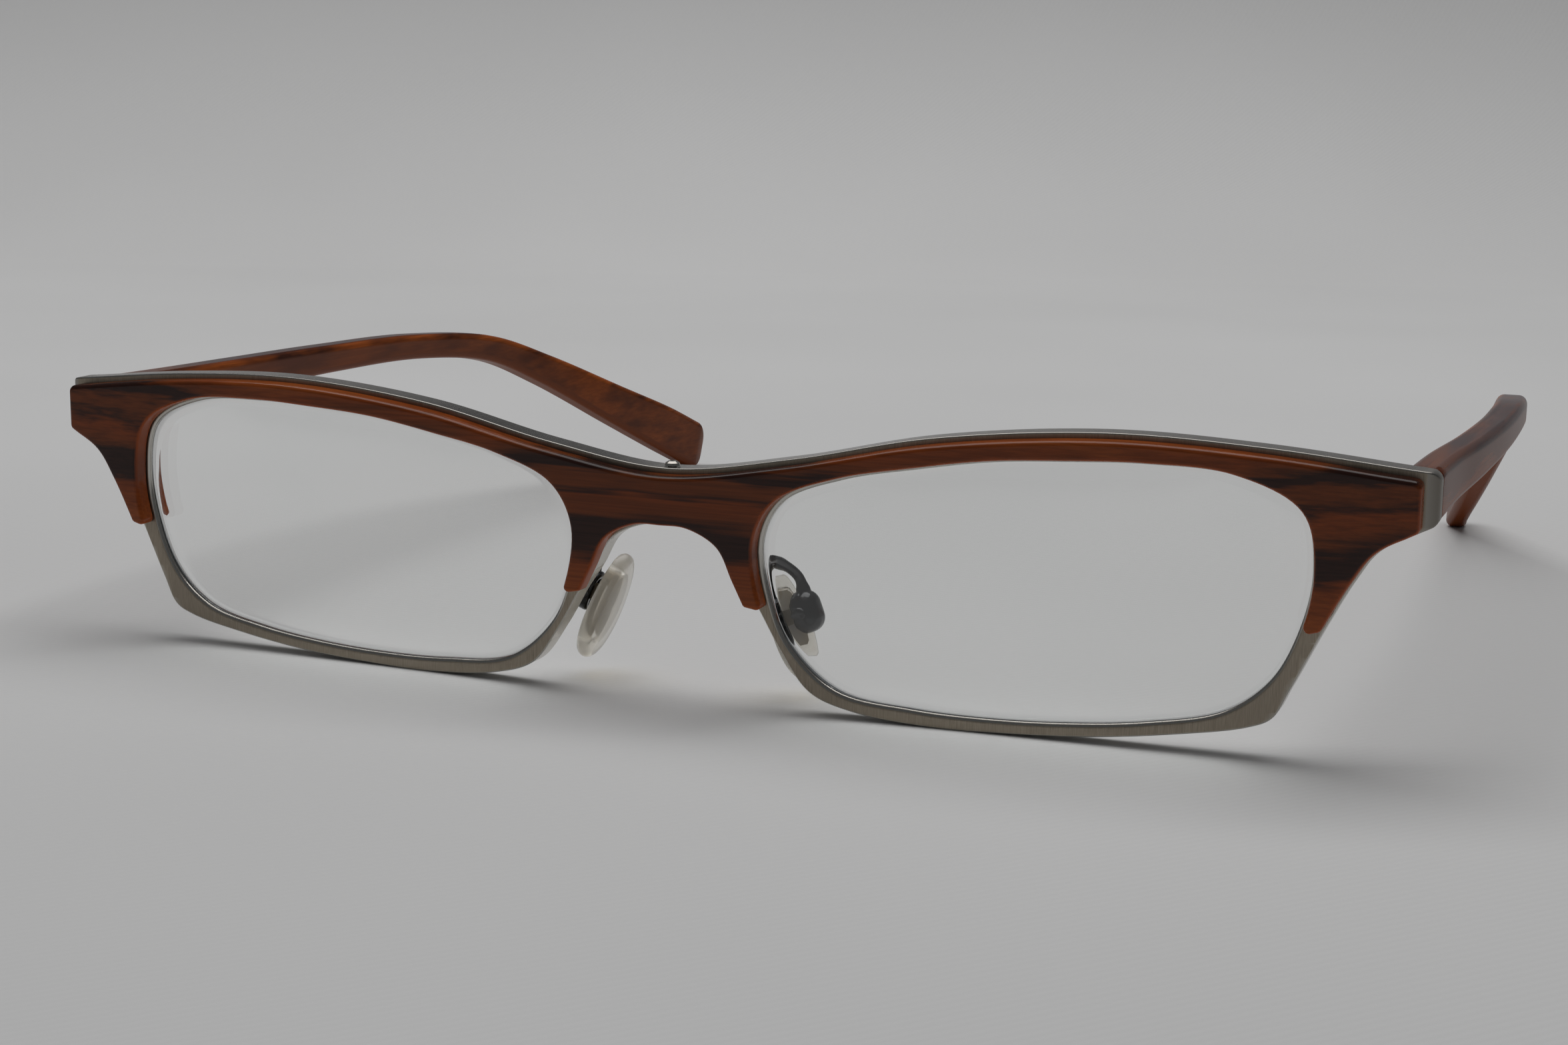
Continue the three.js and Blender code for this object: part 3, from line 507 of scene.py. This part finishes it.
# ---- Nose pads, about the centre of the pad box ---------------------------------------------------
PAD_FACE = 1.05
PAD_CENTRE_Y = -0.7
# The share by which the pad's half width changes from its middle to its narrow and wide ends.
PAD_TAPER = 0.16
PAD_POCKET_RADII = (1.8, 3.6)
PAD_POCKET_DEPTH = 0.95
PAD_BOX_SIZE = (3.3, 4)
PAD_BOX_CORNER = 1.45
PAD_CAVITY_SIZE = (1.7, 2.7)
PAD_CAVITY_FLOOR = -1.25
SOLDER_HEIGHT = 0.3
SOLDER_REACH = 0.3
COLLAR_HEIGHT = 0.22
COLLAR_LENGTH = 0.9


def pad_matrix():
    length = Vector((-math.sin(PAD_FRONTAL_TILT), PAD_LEAN_BACK, math.cos(PAD_FRONTAL_TILT)))
    length.normalize()
    to_nose = Vector((-math.cos(PAD_SPLAY), math.sin(PAD_SPLAY), 0))
    to_nose = (to_nose - length * to_nose.dot(length)).normalized()
    width = length.cross(to_nose)
    return Matrix.Translation(PAD_BOX_CENTRE) @ Matrix((width, length, to_nose)).transposed().to_4x4()


def make_nose_pad(name, side):
    """A drop-shaped soft pad: domed towards the nose, with a pocket for the insert at its back."""
    back, top = PAD_FACE, PAD_FACE + PAD_THICKNESS
    angles = [k / PAD_SIDES * 2 * math.pi for k in range(PAD_SIDES)]

    def drop(share):
        run = []
        for a in angles:
            y = math.sin(a)
            x = math.cos(a) * (1 - PAD_TAPER * y)
            run.append((share * x * PAD_WIDTH / 2, share * y * PAD_LENGTH / 2))
        return run

    def oval(x_radius, y_radius):
        return [(x_radius * math.cos(a), y_radius * math.sin(a)) for a in angles]

    layers = [(drop(s), top - 0.35 * s**2) for s in (0.03, 0.25, 0.45, 0.62, 0.75)]
    wall_top, wall_back = top - 0.3, back + 0.1
    for k in range(13):
        a = k / 12 * math.pi
        bulge = 0.86 + 0.14 * math.sin(a)
        middle, half = (wall_top + wall_back) / 2, (wall_top - wall_back) / 2
        layers.append((drop(bulge), middle + half * math.cos(a)))
    layers += [(drop(s), back) for s in (0.8, 0.7, 0.62)]
    floor = back + PAD_POCKET_DEPTH
    layers += [(oval(*PAD_POCKET_RADII), z) for z in (back, floor)]
    layers += [(oval(0.1, 0.2), floor)]
    rings = [[Vector((x, y + PAD_CENTRE_Y, z)) for x, y in run] for run, z in layers]
    bm = skin_over(rings)
    bmesh.ops.transform(bm, matrix=pad_matrix(), verts=bm.verts)
    into_row(bm, side)
    body = f"nose_pad_{name}"
    return object_from(bm, f"soft_pad_{name}", body, [f"nose_pad_{name}"])


def tube_rings(path, radii):
    """Rings along a path that don't twist."""
    rings = []
    across = Vector((0, 0, 1))
    for i, p in enumerate(path):
        along = (path[min(i + 1, len(path) - 1)] - path[max(i - 1, 0)]).normalized()
        across = (across - along * across.dot(along)).normalized()
        other = along.cross(across)
        turns = [k / TUBE_SIDES * 2 * math.pi for k in range(TUBE_SIDES)]
        rings.append([p + (across * math.cos(a) + other * math.sin(a)) * radii[i] for a in turns])
    return rings


def make_pad_arm(name, side):
    """The bent wire, with a fillet of solder where it meets the rim and a collar at the pad box."""
    pad = pad_matrix()
    path = smooth([
        (8.8, METAL_DEPTH + wrap_at(8.8) + 0.05, -0.95), (8.95, 3.6, -0.65), (9.05, 4.6, -0.55),
        (9.4, 5.6, -1.1), pad @ Vector((0, 3.2, -0.55)), pad @ Vector((0, 1.5, -0.55)),
    ], steps=9)
    lengths = [0]
    for a, b in zip(path, path[1:]):
        lengths.append(lengths[-1] + (b - a).length)
    solder = [SOLDER_HEIGHT * math.exp(-((s / SOLDER_REACH) ** 1.5)) for s in lengths]
    collar_start = lengths[-1] - COLLAR_LENGTH
    collar = [COLLAR_HEIGHT / (1 + math.exp((collar_start - s) * 6)) for s in lengths]
    radii = [PAD_ARM_RADIUS + a + b for a, b in zip(solder, collar)]
    bm = into_row(skin_over(tube_rings(path, radii)), side)
    return object_from(bm, f"arm_wire_{name}", "frame", [f"pad_arm_{name}"])


def soften(node, width):
    """Rounds the edges of a CAD node that is shown as it is."""
    flat = node.modifiers.new("Merge flat facets", "DECIMATE")
    flat.decimate_type = "DISSOLVE"
    flat.angle_limit = math.radians(2)
    bevel = node.modifiers.new("Rounded edges", "BEVEL")
    bevel.width = width * MM
    bevel.segments = 3
    bevel.angle_limit = math.radians(35)
    bevel.harden_normals = False
    for polygon in node.data.polygons:
        polygon.use_smooth = True
    node.modifiers.new("Weighted normals", "WEIGHTED_NORMAL").weight = NORMAL_WEIGHT


def make_pad_box(name, side):
    """A rounded open box that holds the lug of the insert; its screw runs across it."""
    width, height = PAD_BOX_SIZE
    lip_round, back_round = 0.3, 1.3

    def shrunk(by):
        return rounded_section(width - 2 * by, height - 2 * by, PAD_BOX_CORNER - by)

    layers = [(rounded_section(0.3, 0.5, 0.1), PAD_CAVITY_FLOOR)]
    layers += [(rounded_section(*PAD_CAVITY_SIZE, 0.3), z) for z in (PAD_CAVITY_FLOOR, 0.3)]
    layers += [(rounded_section(1.9, 2.9, 0.4), 0.45)]
    for k in range(7):
        a = k / 6 * math.pi / 2
        layers.append((shrunk(lip_round * (1 - math.sin(a))), 0.15 + lip_round * math.cos(a)))
    for k in range(9):
        a = k / 8 * math.pi / 2 * 0.94
        layers.append((shrunk(back_round * (1 - math.cos(a))), -0.3 - back_round * math.sin(a)))
    rings = [[Vector((x, y, z)) for x, y in run] for run, z in layers]
    bm = skin_over(rings)
    bmesh.ops.transform(bm, matrix=pad_matrix(), verts=bm.verts)
    into_row(bm, side)
    return object_from(bm, f"pad_cup_{name}", "frame", [f"pad_box_{name}"])


# ---- Materials ---------------------------------------------------------------------------------
# Distance from the centre line at which the painted shade and the rougher finish of the metal's outer ends
# start.
END_STARTS = 65


class Shader:
    """A material's node tree, with short ways to add to it."""

    def __init__(self, name):
        self.material = bpy.data.materials.new(name)
        self.material.use_nodes = True
        self.nodes = self.material.node_tree.nodes
        self.links = self.material.node_tree.links
        self.surface = self.nodes["Principled BSDF"]

    def set(self, **values):
        for name, value in values.items():
            self.surface.inputs[name.replace("_", " ")].default_value = value

    def link(self, output, target):
        self.links.new(output, target)

    def feed(self, node, socket, value):
        """Sets an input to a value, or links it when the value is another node's output."""
        if isinstance(value, bpy.types.NodeSocket):
            self.links.new(value, node.inputs[socket])
        else:
            node.inputs[socket].default_value = value

    def place(self, scale, turn=(0, 0, 0)):
        """Object coordinates in mm, turned and then stretched."""
        here = self.nodes.new("ShaderNodeTexCoord")
        mapping = self.nodes.new("ShaderNodeMapping")
        mapping.vector_type = "POINT"
        self.link(here.outputs["Object"], mapping.inputs["Vector"])
        mapping.inputs["Rotation"].default_value = turn
        mapping.inputs["Scale"].default_value = [s * 1000 for s in scale]
        return mapping.outputs["Vector"]

    def noise(self, vector, detail=3.0, roughness=0.5):
        node = self.nodes.new("ShaderNodeTexNoise")
        self.link(vector, node.inputs["Vector"])
        node.inputs["Scale"].default_value = 1.0
        node.inputs["Detail"].default_value = detail
        node.inputs["Roughness"].default_value = roughness
        return node.outputs["Fac"]

    def ramp(self, factor, stops):
        """stops: (position, colour or grey level), in order."""
        node = self.nodes.new("ShaderNodeValToRGB")
        elements = node.color_ramp.elements
        while len(elements) < len(stops):
            elements.new(0.5)
        for element, (position, colour) in zip(elements, stops):
            element.position = position
            element.color = (*colour, 1) if isinstance(colour, tuple) else (colour, colour, colour, 1)
        self.link(factor, node.inputs["Fac"])
        return node.outputs["Color"]

    def mix(self, factor, a, b, blend="MIX"):
        node = self.nodes.new("ShaderNodeMix")
        node.data_type = "RGBA"
        node.blend_type = blend
        colours = [s for s in node.inputs if s.type == "RGBA"]
        self.feed(node, 0, factor)
        for socket, value in zip(colours, (a, b)):
            if isinstance(value, bpy.types.NodeSocket):
                self.link(value, socket)
            else:
                socket.default_value = (*value, 1)
        return next(s for s in node.outputs if s.type == "RGBA")

    def facing(self, direction, zero_at, one_at):
        """0 to 1 as the cosine between the normal and the direction goes from zero_at to one_at."""
        geometry = self.nodes.new("ShaderNodeNewGeometry")
        dot = self.nodes.new("ShaderNodeVectorMath")
        dot.operation = "DOT_PRODUCT"
        dot.inputs[1].default_value = direction
        self.link(geometry.outputs["Normal"], dot.inputs[0])
        span = self.nodes.new("ShaderNodeMapRange")
        span.inputs["From Min"].default_value = zero_at
        span.inputs["From Max"].default_value = one_at
        self.link(dot.outputs["Value"], span.inputs["Value"])
        return span.outputs["Result"]

    def calculate(self, operation, *values):
        node = self.nodes.new("ShaderNodeMath")
        node.operation = operation
        for k, value in enumerate(values):
            self.feed(node, k, value)
        return node.outputs["Value"]

    def level_mm(self, rise):
        """Height above the table less rise * x squared: its level lines curve up at the ends."""
        parts = self.nodes.new("ShaderNodeSeparateXYZ")
        self.link(self.place((1, 1, 1)), parts.inputs["Vector"])
        squared = self.calculate("MULTIPLY", parts.outputs["X"], parts.outputs["X"])
        return self.calculate("MULTIPLY_ADD", squared, -rise, parts.outputs["Z"])

    def end_share(self):
        """0 over the lenses, 1 on the outer ends of the front."""
        parts = self.nodes.new("ShaderNodeSeparateXYZ")
        self.link(self.place((1, 1, 1)), parts.inputs["Vector"])
        span = self.nodes.new("ShaderNodeMapRange")
        span.inputs["From Min"].default_value = END_STARTS
        span.inputs["From Max"].default_value = METAL_HALF_WIDTH
        self.link(self.calculate("ABSOLUTE", parts.outputs["X"]), span.inputs["Value"])
        return span.outputs["Result"]

    def turned_to_head(self):
        """1 on faces that look towards the wearer's head, 0 on the others."""
        geometry = self.nodes.new("ShaderNodeNewGeometry")
        normal = self.nodes.new("ShaderNodeSeparateXYZ")
        self.link(geometry.outputs["Normal"], normal.inputs["Vector"])
        here = self.nodes.new("ShaderNodeSeparateXYZ")
        self.link(self.place((1, 1, 1)), here.inputs["Vector"])
        side = self.calculate("SIGN", here.outputs["X"])
        outward = self.calculate("MULTIPLY", normal.outputs["X"], side)
        gain, softness = 1.6, 0.1
        inward = self.calculate("MAXIMUM", self.calculate("MULTIPLY", outward, -gain), 0.0)
        return self.calculate("SMOOTH_MIN", inward, 1.0, softness)

    def colour(self, factor, stops):
        self.link(self.ramp(factor, stops), self.surface.inputs["Base Color"])

    def roughness(self, factor, stops):
        self.link(self.ramp(factor, stops), self.surface.inputs["Roughness"])

    def bump(self, height, distance_mm, strength=1.0):
        node = self.nodes.new("ShaderNodeBump")
        node.inputs["Distance"].default_value = distance_mm * MM
        node.inputs["Strength"].default_value = strength
        self.link(height, node.inputs["Height"])
        self.link(node.outputs["Normal"], self.surface.inputs["Normal"])

    def clear_to_light(self, tint):
        """Lets light through to what lies behind instead of a dark shadow."""
        path = self.nodes.new("ShaderNodeLightPath")
        transparent = self.nodes.new("ShaderNodeBsdfTransparent")
        transparent.inputs["Color"].default_value = (*tint, 1)
        mix = self.nodes.new("ShaderNodeMixShader")
        self.link(path.outputs["Is Shadow Ray"], mix.inputs[0])
        self.link(self.surface.outputs["BSDF"], mix.inputs[1])
        self.link(transparent.outputs["BSDF"], mix.inputs[2])
        self.link(mix.outputs["Shader"], self.nodes["Material Output"].inputs["Surface"])


def acetate_material(name, along, bands, edge, coat, rise=0.0, inner_side=None):
    """Polished streaked acetate: level bands that waver along the given axis, with fine lines.

    bands: (height in mm, colour), upwards; edge: a painted glow of light let through the acetate, laid on
    its side, lower and back walls but not on the front face or the tops;
    inner_side: darker and lighter colour of the clouds on faces that look towards the head.
    """
    s = Shader(name)

    def stretched(long, across):
        scale = [1 / across] * 3
        scale[along] = 1 / long
        return s.place(scale)

    def shifted(height, noise, most):
        """The height moved by the noise, over a range of `most` mm about where it was."""
        return s.calculate("ADD", height, s.calculate("MULTIPLY_ADD", noise, most, -most / 2))

    lowest, highest = bands[0][0], bands[-1][0]
    waver = s.noise(stretched(22, 6), detail=2.5, roughness=0.6)
    ripple = s.noise(stretched(26, 0.7), detail=3, roughness=0.6)
    height = shifted(shifted(s.level_mm(rise), waver, 5.5), ripple, 2.8)
    share = s.calculate("DIVIDE", s.calculate("SUBTRACT", height, lowest), highest - lowest)
    banded = s.ramp(share, [((z - lowest) / (highest - lowest), colour) for z, colour in bands])
    if inner_side:
        darker, lighter = inner_side
        patches = s.noise(stretched(16, 3), detail=3, roughness=0.6)
        clouds = s.ramp(patches, [(0.38, darker), (0.62, lighter)])
        banded = s.mix(s.turned_to_head(), banded, clouds)
    lines = s.ramp(s.noise(stretched(20, 0.28), detail=3, roughness=0.6), [(0.36, 0.5), (0.6, 1.0)])
    streaked = s.mix(0.6, banded, lines, "MULTIPLY")
    # Painted glow: the walls take the edge colour as if lit by light passing through the acetate; the
    # front face and the tops that look up are left out.
    wall = s.calculate("MULTIPLY", s.facing((0, -1, 0), 0.9, 0.5), s.facing((0, 0, -1), -0.3, 0.2))
    s.link(s.mix(wall, streaked, edge), s.surface.inputs["Base Color"])
    wear = s.noise(stretched(2.2, 2.2), detail=4, roughness=0.65)
    s.roughness(wear, [(0.3, 0.16), (0.7, 0.24)])
    s.set(IOR=1.49, Specular_IOR_Level=0.0, Coat_Weight=coat, Coat_Roughness=0.1)
    s.set(Subsurface_Weight=0.04, Subsurface_Scale=0.8 * MM)
    s.bump(s.noise(stretched(1.6, 0.9), detail=3), 0.003)
    return s.material


def brushed_metal_material():
    """Olive-grey metal: slanting brush marks on the flats; walls painted lighter, partly for their polish
    and partly as a painted highlight; painted shade on the outer ends and on the tops that look up.
    """
    s = Shader("Brushed metal")
    marks = s.noise(s.place((1 / 0.05, 1, 1 / 1.6), (0, math.radians(24), 0)), detail=3, roughness=0.6)
    patches = s.noise(s.place((1 / 9, 1 / 9, 1 / 9)), detail=2)
    flat = s.facing((0, -1, 0.02), 0.955, 0.985)
    tone = s.ramp(marks, [(0.3, (0.25, 0.215, 0.168)), (0.7, (0.38, 0.328, 0.262))])
    tone = s.mix(s.ramp(patches, [(0.35, 0.0), (0.7, 0.35)]), tone, (0.3, 0.258, 0.21))
    # Painted shade on the metal's outer ends, which are also made rougher.
    end_shade_and_roughness = s.end_share()
    # The walls are painted lighter, partly for their polish and partly as a painted highlight; the outer
    # ends and the tops that look up are painted darker as painted shade.
    walls = s.mix(end_shade_and_roughness, (0.52, 0.5, 0.46), (0.19, 0.172, 0.148))
    edge = s.mix(s.facing((0, 0, 1), 0.3, 0.8), walls, (0.32, 0.3, 0.275))
    s.link(s.mix(flat, edge, tone), s.surface.inputs["Base Color"])
    brushed = s.ramp(marks, [(0.3, 0.46), (0.7, 0.36)])
    polish = s.mix(end_shade_and_roughness, (0.22, 0.22, 0.22), (0.42, 0.42, 0.42))
    s.link(s.mix(flat, polish, brushed), s.surface.inputs["Roughness"])
    s.set(Metallic=1.0, Anisotropic=0.3)
    s.bump(marks, 0.006)
    return s.material


def dark_metal_material():
    s = Shader("Dark gunmetal")
    cloud = s.noise(s.place((1 / 1.2, 1 / 1.2, 1 / 1.2)), detail=4, roughness=0.6)
    s.colour(cloud, [(0.35, (0.03, 0.03, 0.031)), (0.65, (0.05, 0.05, 0.051))])
    s.roughness(cloud, [(0.35, 0.13), (0.65, 0.19)])
    s.set(Metallic=1.0)
    s.bump(s.noise(s.place((1.5, 1.5, 1.5)), detail=2), 0.003)
    return s.material


def steel_material():
    s = Shader("Screw steel")
    turned = s.noise(s.place((1 / 0.5, 1 / 0.5, 1 / 0.06)), detail=3, roughness=0.6)
    s.colour(turned, [(0.35, (0.46, 0.45, 0.43)), (0.65, (0.62, 0.61, 0.585))])
    s.roughness(turned, [(0.35, 0.2), (0.65, 0.3)])
    s.set(Metallic=1.0)
    s.bump(turned, 0.002)
    return s.material


def lens_material():
    """Clear demo lens: barely tinted, with a trace of haze that varies."""
    s = Shader("Demo lens")
    haze = s.noise(s.place((1 / 14, 1 / 14, 1 / 14)), detail=2)
    s.colour(haze, [(0.3, (0.97, 0.98, 0.975)), (0.7, (0.985, 0.99, 0.985))])
    s.roughness(haze, [(0.3, 0.0), (0.7, 0.012)])
    s.set(IOR=1.49, Transmission_Weight=1.0)
    s.clear_to_light((0.95, 0.96, 0.955))
    return s.material


def silicone_material():
    s = Shader("Clear silicone")
    cloud = s.noise(s.place((1 / 3, 1 / 3, 1 / 3)), detail=3)
    s.colour(cloud, [(0.3, (0.93, 0.89, 0.8)), (0.7, (0.97, 0.95, 0.9))])
    s.roughness(cloud, [(0.3, 0.14), (0.7, 0.22)])
    s.set(IOR=1.41, Transmission_Weight=0.75)
    s.clear_to_light((0.92, 0.9, 0.85))
    return s.material


def insert_material():
    s = Shader("Insert plastic")
    cloud = s.noise(s.place((1 / 1.5, 1 / 1.5, 1 / 1.5)), detail=3)
    s.colour(cloud, [(0.3, (0.2, 0.16, 0.1)), (0.7, (0.3, 0.25, 0.16))])
    s.roughness(cloud, [(0.3, 0.3), (0.7, 0.42)])
    s.set(IOR=1.5)
    return s.material


def cloth_material():
    """Pale table top with a very fine woven relief."""
    s = Shader("Pale table top")
    weave = s.nodes.new("ShaderNodeTexWave")
    weave.inputs["Scale"].default_value = 0.35
    weave.inputs["Distortion"].default_value = 0.6
    weave.inputs["Detail"].default_value = 2
    s.link(s.place((1, 1, 1), (0, 0, math.radians(38))), weave.inputs["Vector"])
    cloud = s.noise(s.place((1 / 160, 1 / 160, 1 / 160)), detail=2)
    s.colour(cloud, [(0.3, (0.66, 0.655, 0.65)), (0.7, (0.7, 0.695, 0.69))])
    s.set(Roughness=0.75)
    s.bump(weave.outputs["Fac"], 0.03, 0.35)
    return s.material


# ---- Camera, floor and light ---------------------------------------------------------------------
CAMERA_PLACE = Vector((92.94, -208.98, 47.74))
CAMERA_FORWARD = Vector((-0.3566, 0.9143, -0.1920))
CAMERA_DOWN = Vector((0.0788, -0.1754, -0.9813))
CAMERA_LENS = 58.7
SENSOR_WIDTH = 36


def camera_axes():
    """Right, up and backward of the camera in the row frame."""
    turn = DRAWING.to_3x3().normalized()
    backward = turn @ -CAMERA_FORWARD.normalized()
    right = (turn @ -CAMERA_DOWN).cross(backward).normalized()
    return right, backward.cross(right), backward


def make_camera():
    data = bpy.data.cameras.new("Camera")
    data.lens = CAMERA_LENS
    data.sensor_width = SENSOR_WIDTH
    data.sensor_fit = "HORIZONTAL"
    clip_start_metres = 0.01
    data.clip_start = clip_start_metres
    camera = bpy.data.objects.new("Camera", data)
    bpy.context.scene.collection.objects.link(camera)
    aim = Matrix(camera_axes()).transposed().to_4x4()
    camera.matrix_world = Matrix.Translation(DRAWING @ CAMERA_PLACE) @ aim
    bpy.context.scene.camera = camera


def make_floor():
    """A table that runs away from the camera and bends up into a backdrop. In metres."""
    backward = camera_axes()[2]
    ahead = Vector((-backward.x, -backward.y, 0)).normalized()
    across = Vector((-ahead.y, ahead.x, 0))
    start = DRAWING @ CAMERA_PLACE
    start.z = 0
    behind, reach, bend, height, half_width = 2.5, 0.75, 0.12, 0.2, 3.0
    steps = 24
    profile = [(-behind, 0), (reach, 0)]
    for k in range(1, steps + 1):
        a = k / steps * math.pi / 2
        profile.append((reach + bend * math.sin(a), bend * (1 - math.cos(a))))
    profile.append((reach + bend, height))
    bm = bmesh.new()
    rows = []
    for distance, z in profile:
        middle = start + ahead * distance + Vector((0, 0, z))
        rows.append([bm.verts.new(middle + across * w) for w in (-half_width, half_width)])
    for (a, b), (c, d) in zip(rows, rows[1:]):
        bm.faces.new((b, a, c, d)).smooth = True
    mesh = bpy.data.meshes.new("studio_floor")
    bm.to_mesh(mesh)
    bm.free()
    floor = bpy.data.objects.new("studio_floor", mesh)
    bpy.context.scene.collection.objects.link(floor)
    floor.data.materials.append(cloth_material())


def add_softbox(name, place, target, width, depth, watts):
    """A rectangular light that looks at the target. In metres, in the row frame."""
    data = bpy.data.lights.new(name, "AREA")
    data.shape = "RECTANGLE"
    data.size = width
    data.size_y = depth
    data.energy = watts
    light = bpy.data.objects.new(name, data)
    bpy.context.scene.collection.objects.link(light)
    aim = (Vector(target) - Vector(place)).to_track_quat("-Z", "Y")
    light.matrix_world = Matrix.Translation(Vector(place)) @ aim.to_matrix().to_4x4()


def make_lights():
    add_softbox(
        "Overhead softbox", place=(-0.1, 0.18, 0.9), target=(0, -0.05, 0), width=1.1, depth=0.8, watts=6.3,
    )
    world = bpy.data.worlds.new("Studio")
    world.use_nodes = True
    background = world.node_tree.nodes["Background"]
    background.inputs["Color"].default_value = (0.92, 0.96, 1.0, 1)
    background.inputs["Strength"].default_value = 0.1
    bpy.context.scene.world = world
    bpy.context.scene.view_settings.view_transform = "Standard"


# ---- Assembly ----------------------------------------------------------------------------------
DARK = (0.034, 0.011, 0.007)
UMBER = (0.055, 0.015, 0.007)
BROWN = (0.17, 0.04, 0.009)
RED_BROWN = (0.24, 0.05, 0.009)
ORANGE_BROWN = (0.34, 0.08, 0.014)
PLUM = (0.05, 0.017, 0.018)
# Painted glow of light let through the front acetate's walls.
GLOW = (0.34, 0.07, 0.014)
# Heights in mm above the table.
FRONT_BANDS = [
    (9.5, ORANGE_BROWN), (13.4, RED_BROWN), (14.4, DARK), (16.4, DARK), (17.6, BROWN),
    (18.8, RED_BROWN), (19.5, UMBER), (20.2, BROWN), (21.4, BROWN), (22.0, DARK), (22.9, DARK),
    (23.6, BROWN), (24.6, RED_BROWN), (26.2, ORANGE_BROWN), (27.8, BROWN),
]
TEMPLE_BANDS = [
    (0, BROWN), (6, DARK), (10, RED_BROWN), (15, BROWN), (20, RED_BROWN), (22.2, ORANGE_BROWN),
    (22.9, PLUM), (24.5, PLUM), (26, BROWN),
]


def dress(piece, material):
    piece.data.materials.clear()
    piece.data.materials.append(material)


def build_glasses():
    front_acetate = acetate_material("Front acetate", 0, FRONT_BANDS, GLOW, coat=0.5, rise=0.0007)
    inner_side = (UMBER, ORANGE_BROWN)
    temple_acetate = acetate_material(
        "Temple acetate", 1, TEMPLE_BANDS, BROWN, coat=0.4, inner_side=inner_side,
    )
    metal = brushed_metal_material()
    dark = dark_metal_material()
    steel = steel_material()
    lens = lens_material()
    silicone = silicone_material()
    insert = insert_material()

    dress(make_metal_front(), metal)
    dress(make_brow(), front_acetate)
    dress(make_rear_bridge(), front_acetate)
    for name, side in SIDES.items():
        dress(make_rear_end(name, side), front_acetate)
        dress(make_lens(name, side), lens)
        dress(make_temple(name, side), temple_acetate)
        dress(make_nose_pad(name, side), silicone)
        dress(make_pad_arm(name, side), dark)
        dress(make_pad_box(name, side), dark)

    shown_as_cad = {"bridge_screw": (metal, 0.05)}
    for name in SIDES:
        shown_as_cad[f"hinge_front_{name}"] = (dark, 0.12)
        shown_as_cad[f"hinge_temple_{name}"] = (dark, 0.12)
        shown_as_cad[f"hinge_screw_{name}"] = (steel, 0.05)
        shown_as_cad[f"core_wire_{name}"] = (steel, 0.05)
        shown_as_cad[f"pad_screw_{name}"] = (dark, 0.05)
        shown_as_cad[f"pad_insert_{name}"] = (insert, 0.12)
        for k in (1, 2):
            shown_as_cad[f"end_rivet_{name}_{k}"] = (steel, 0.05)
            shown_as_cad[f"temple_rivet_{name}_{k}"] = (steel, 0.05)
    for node, (material, rounding) in shown_as_cad.items():
        soften(frame["nodes"][node], rounding)
        dress(frame["nodes"][node], material)


build_glasses()
make_camera()
make_floor()
make_lights()
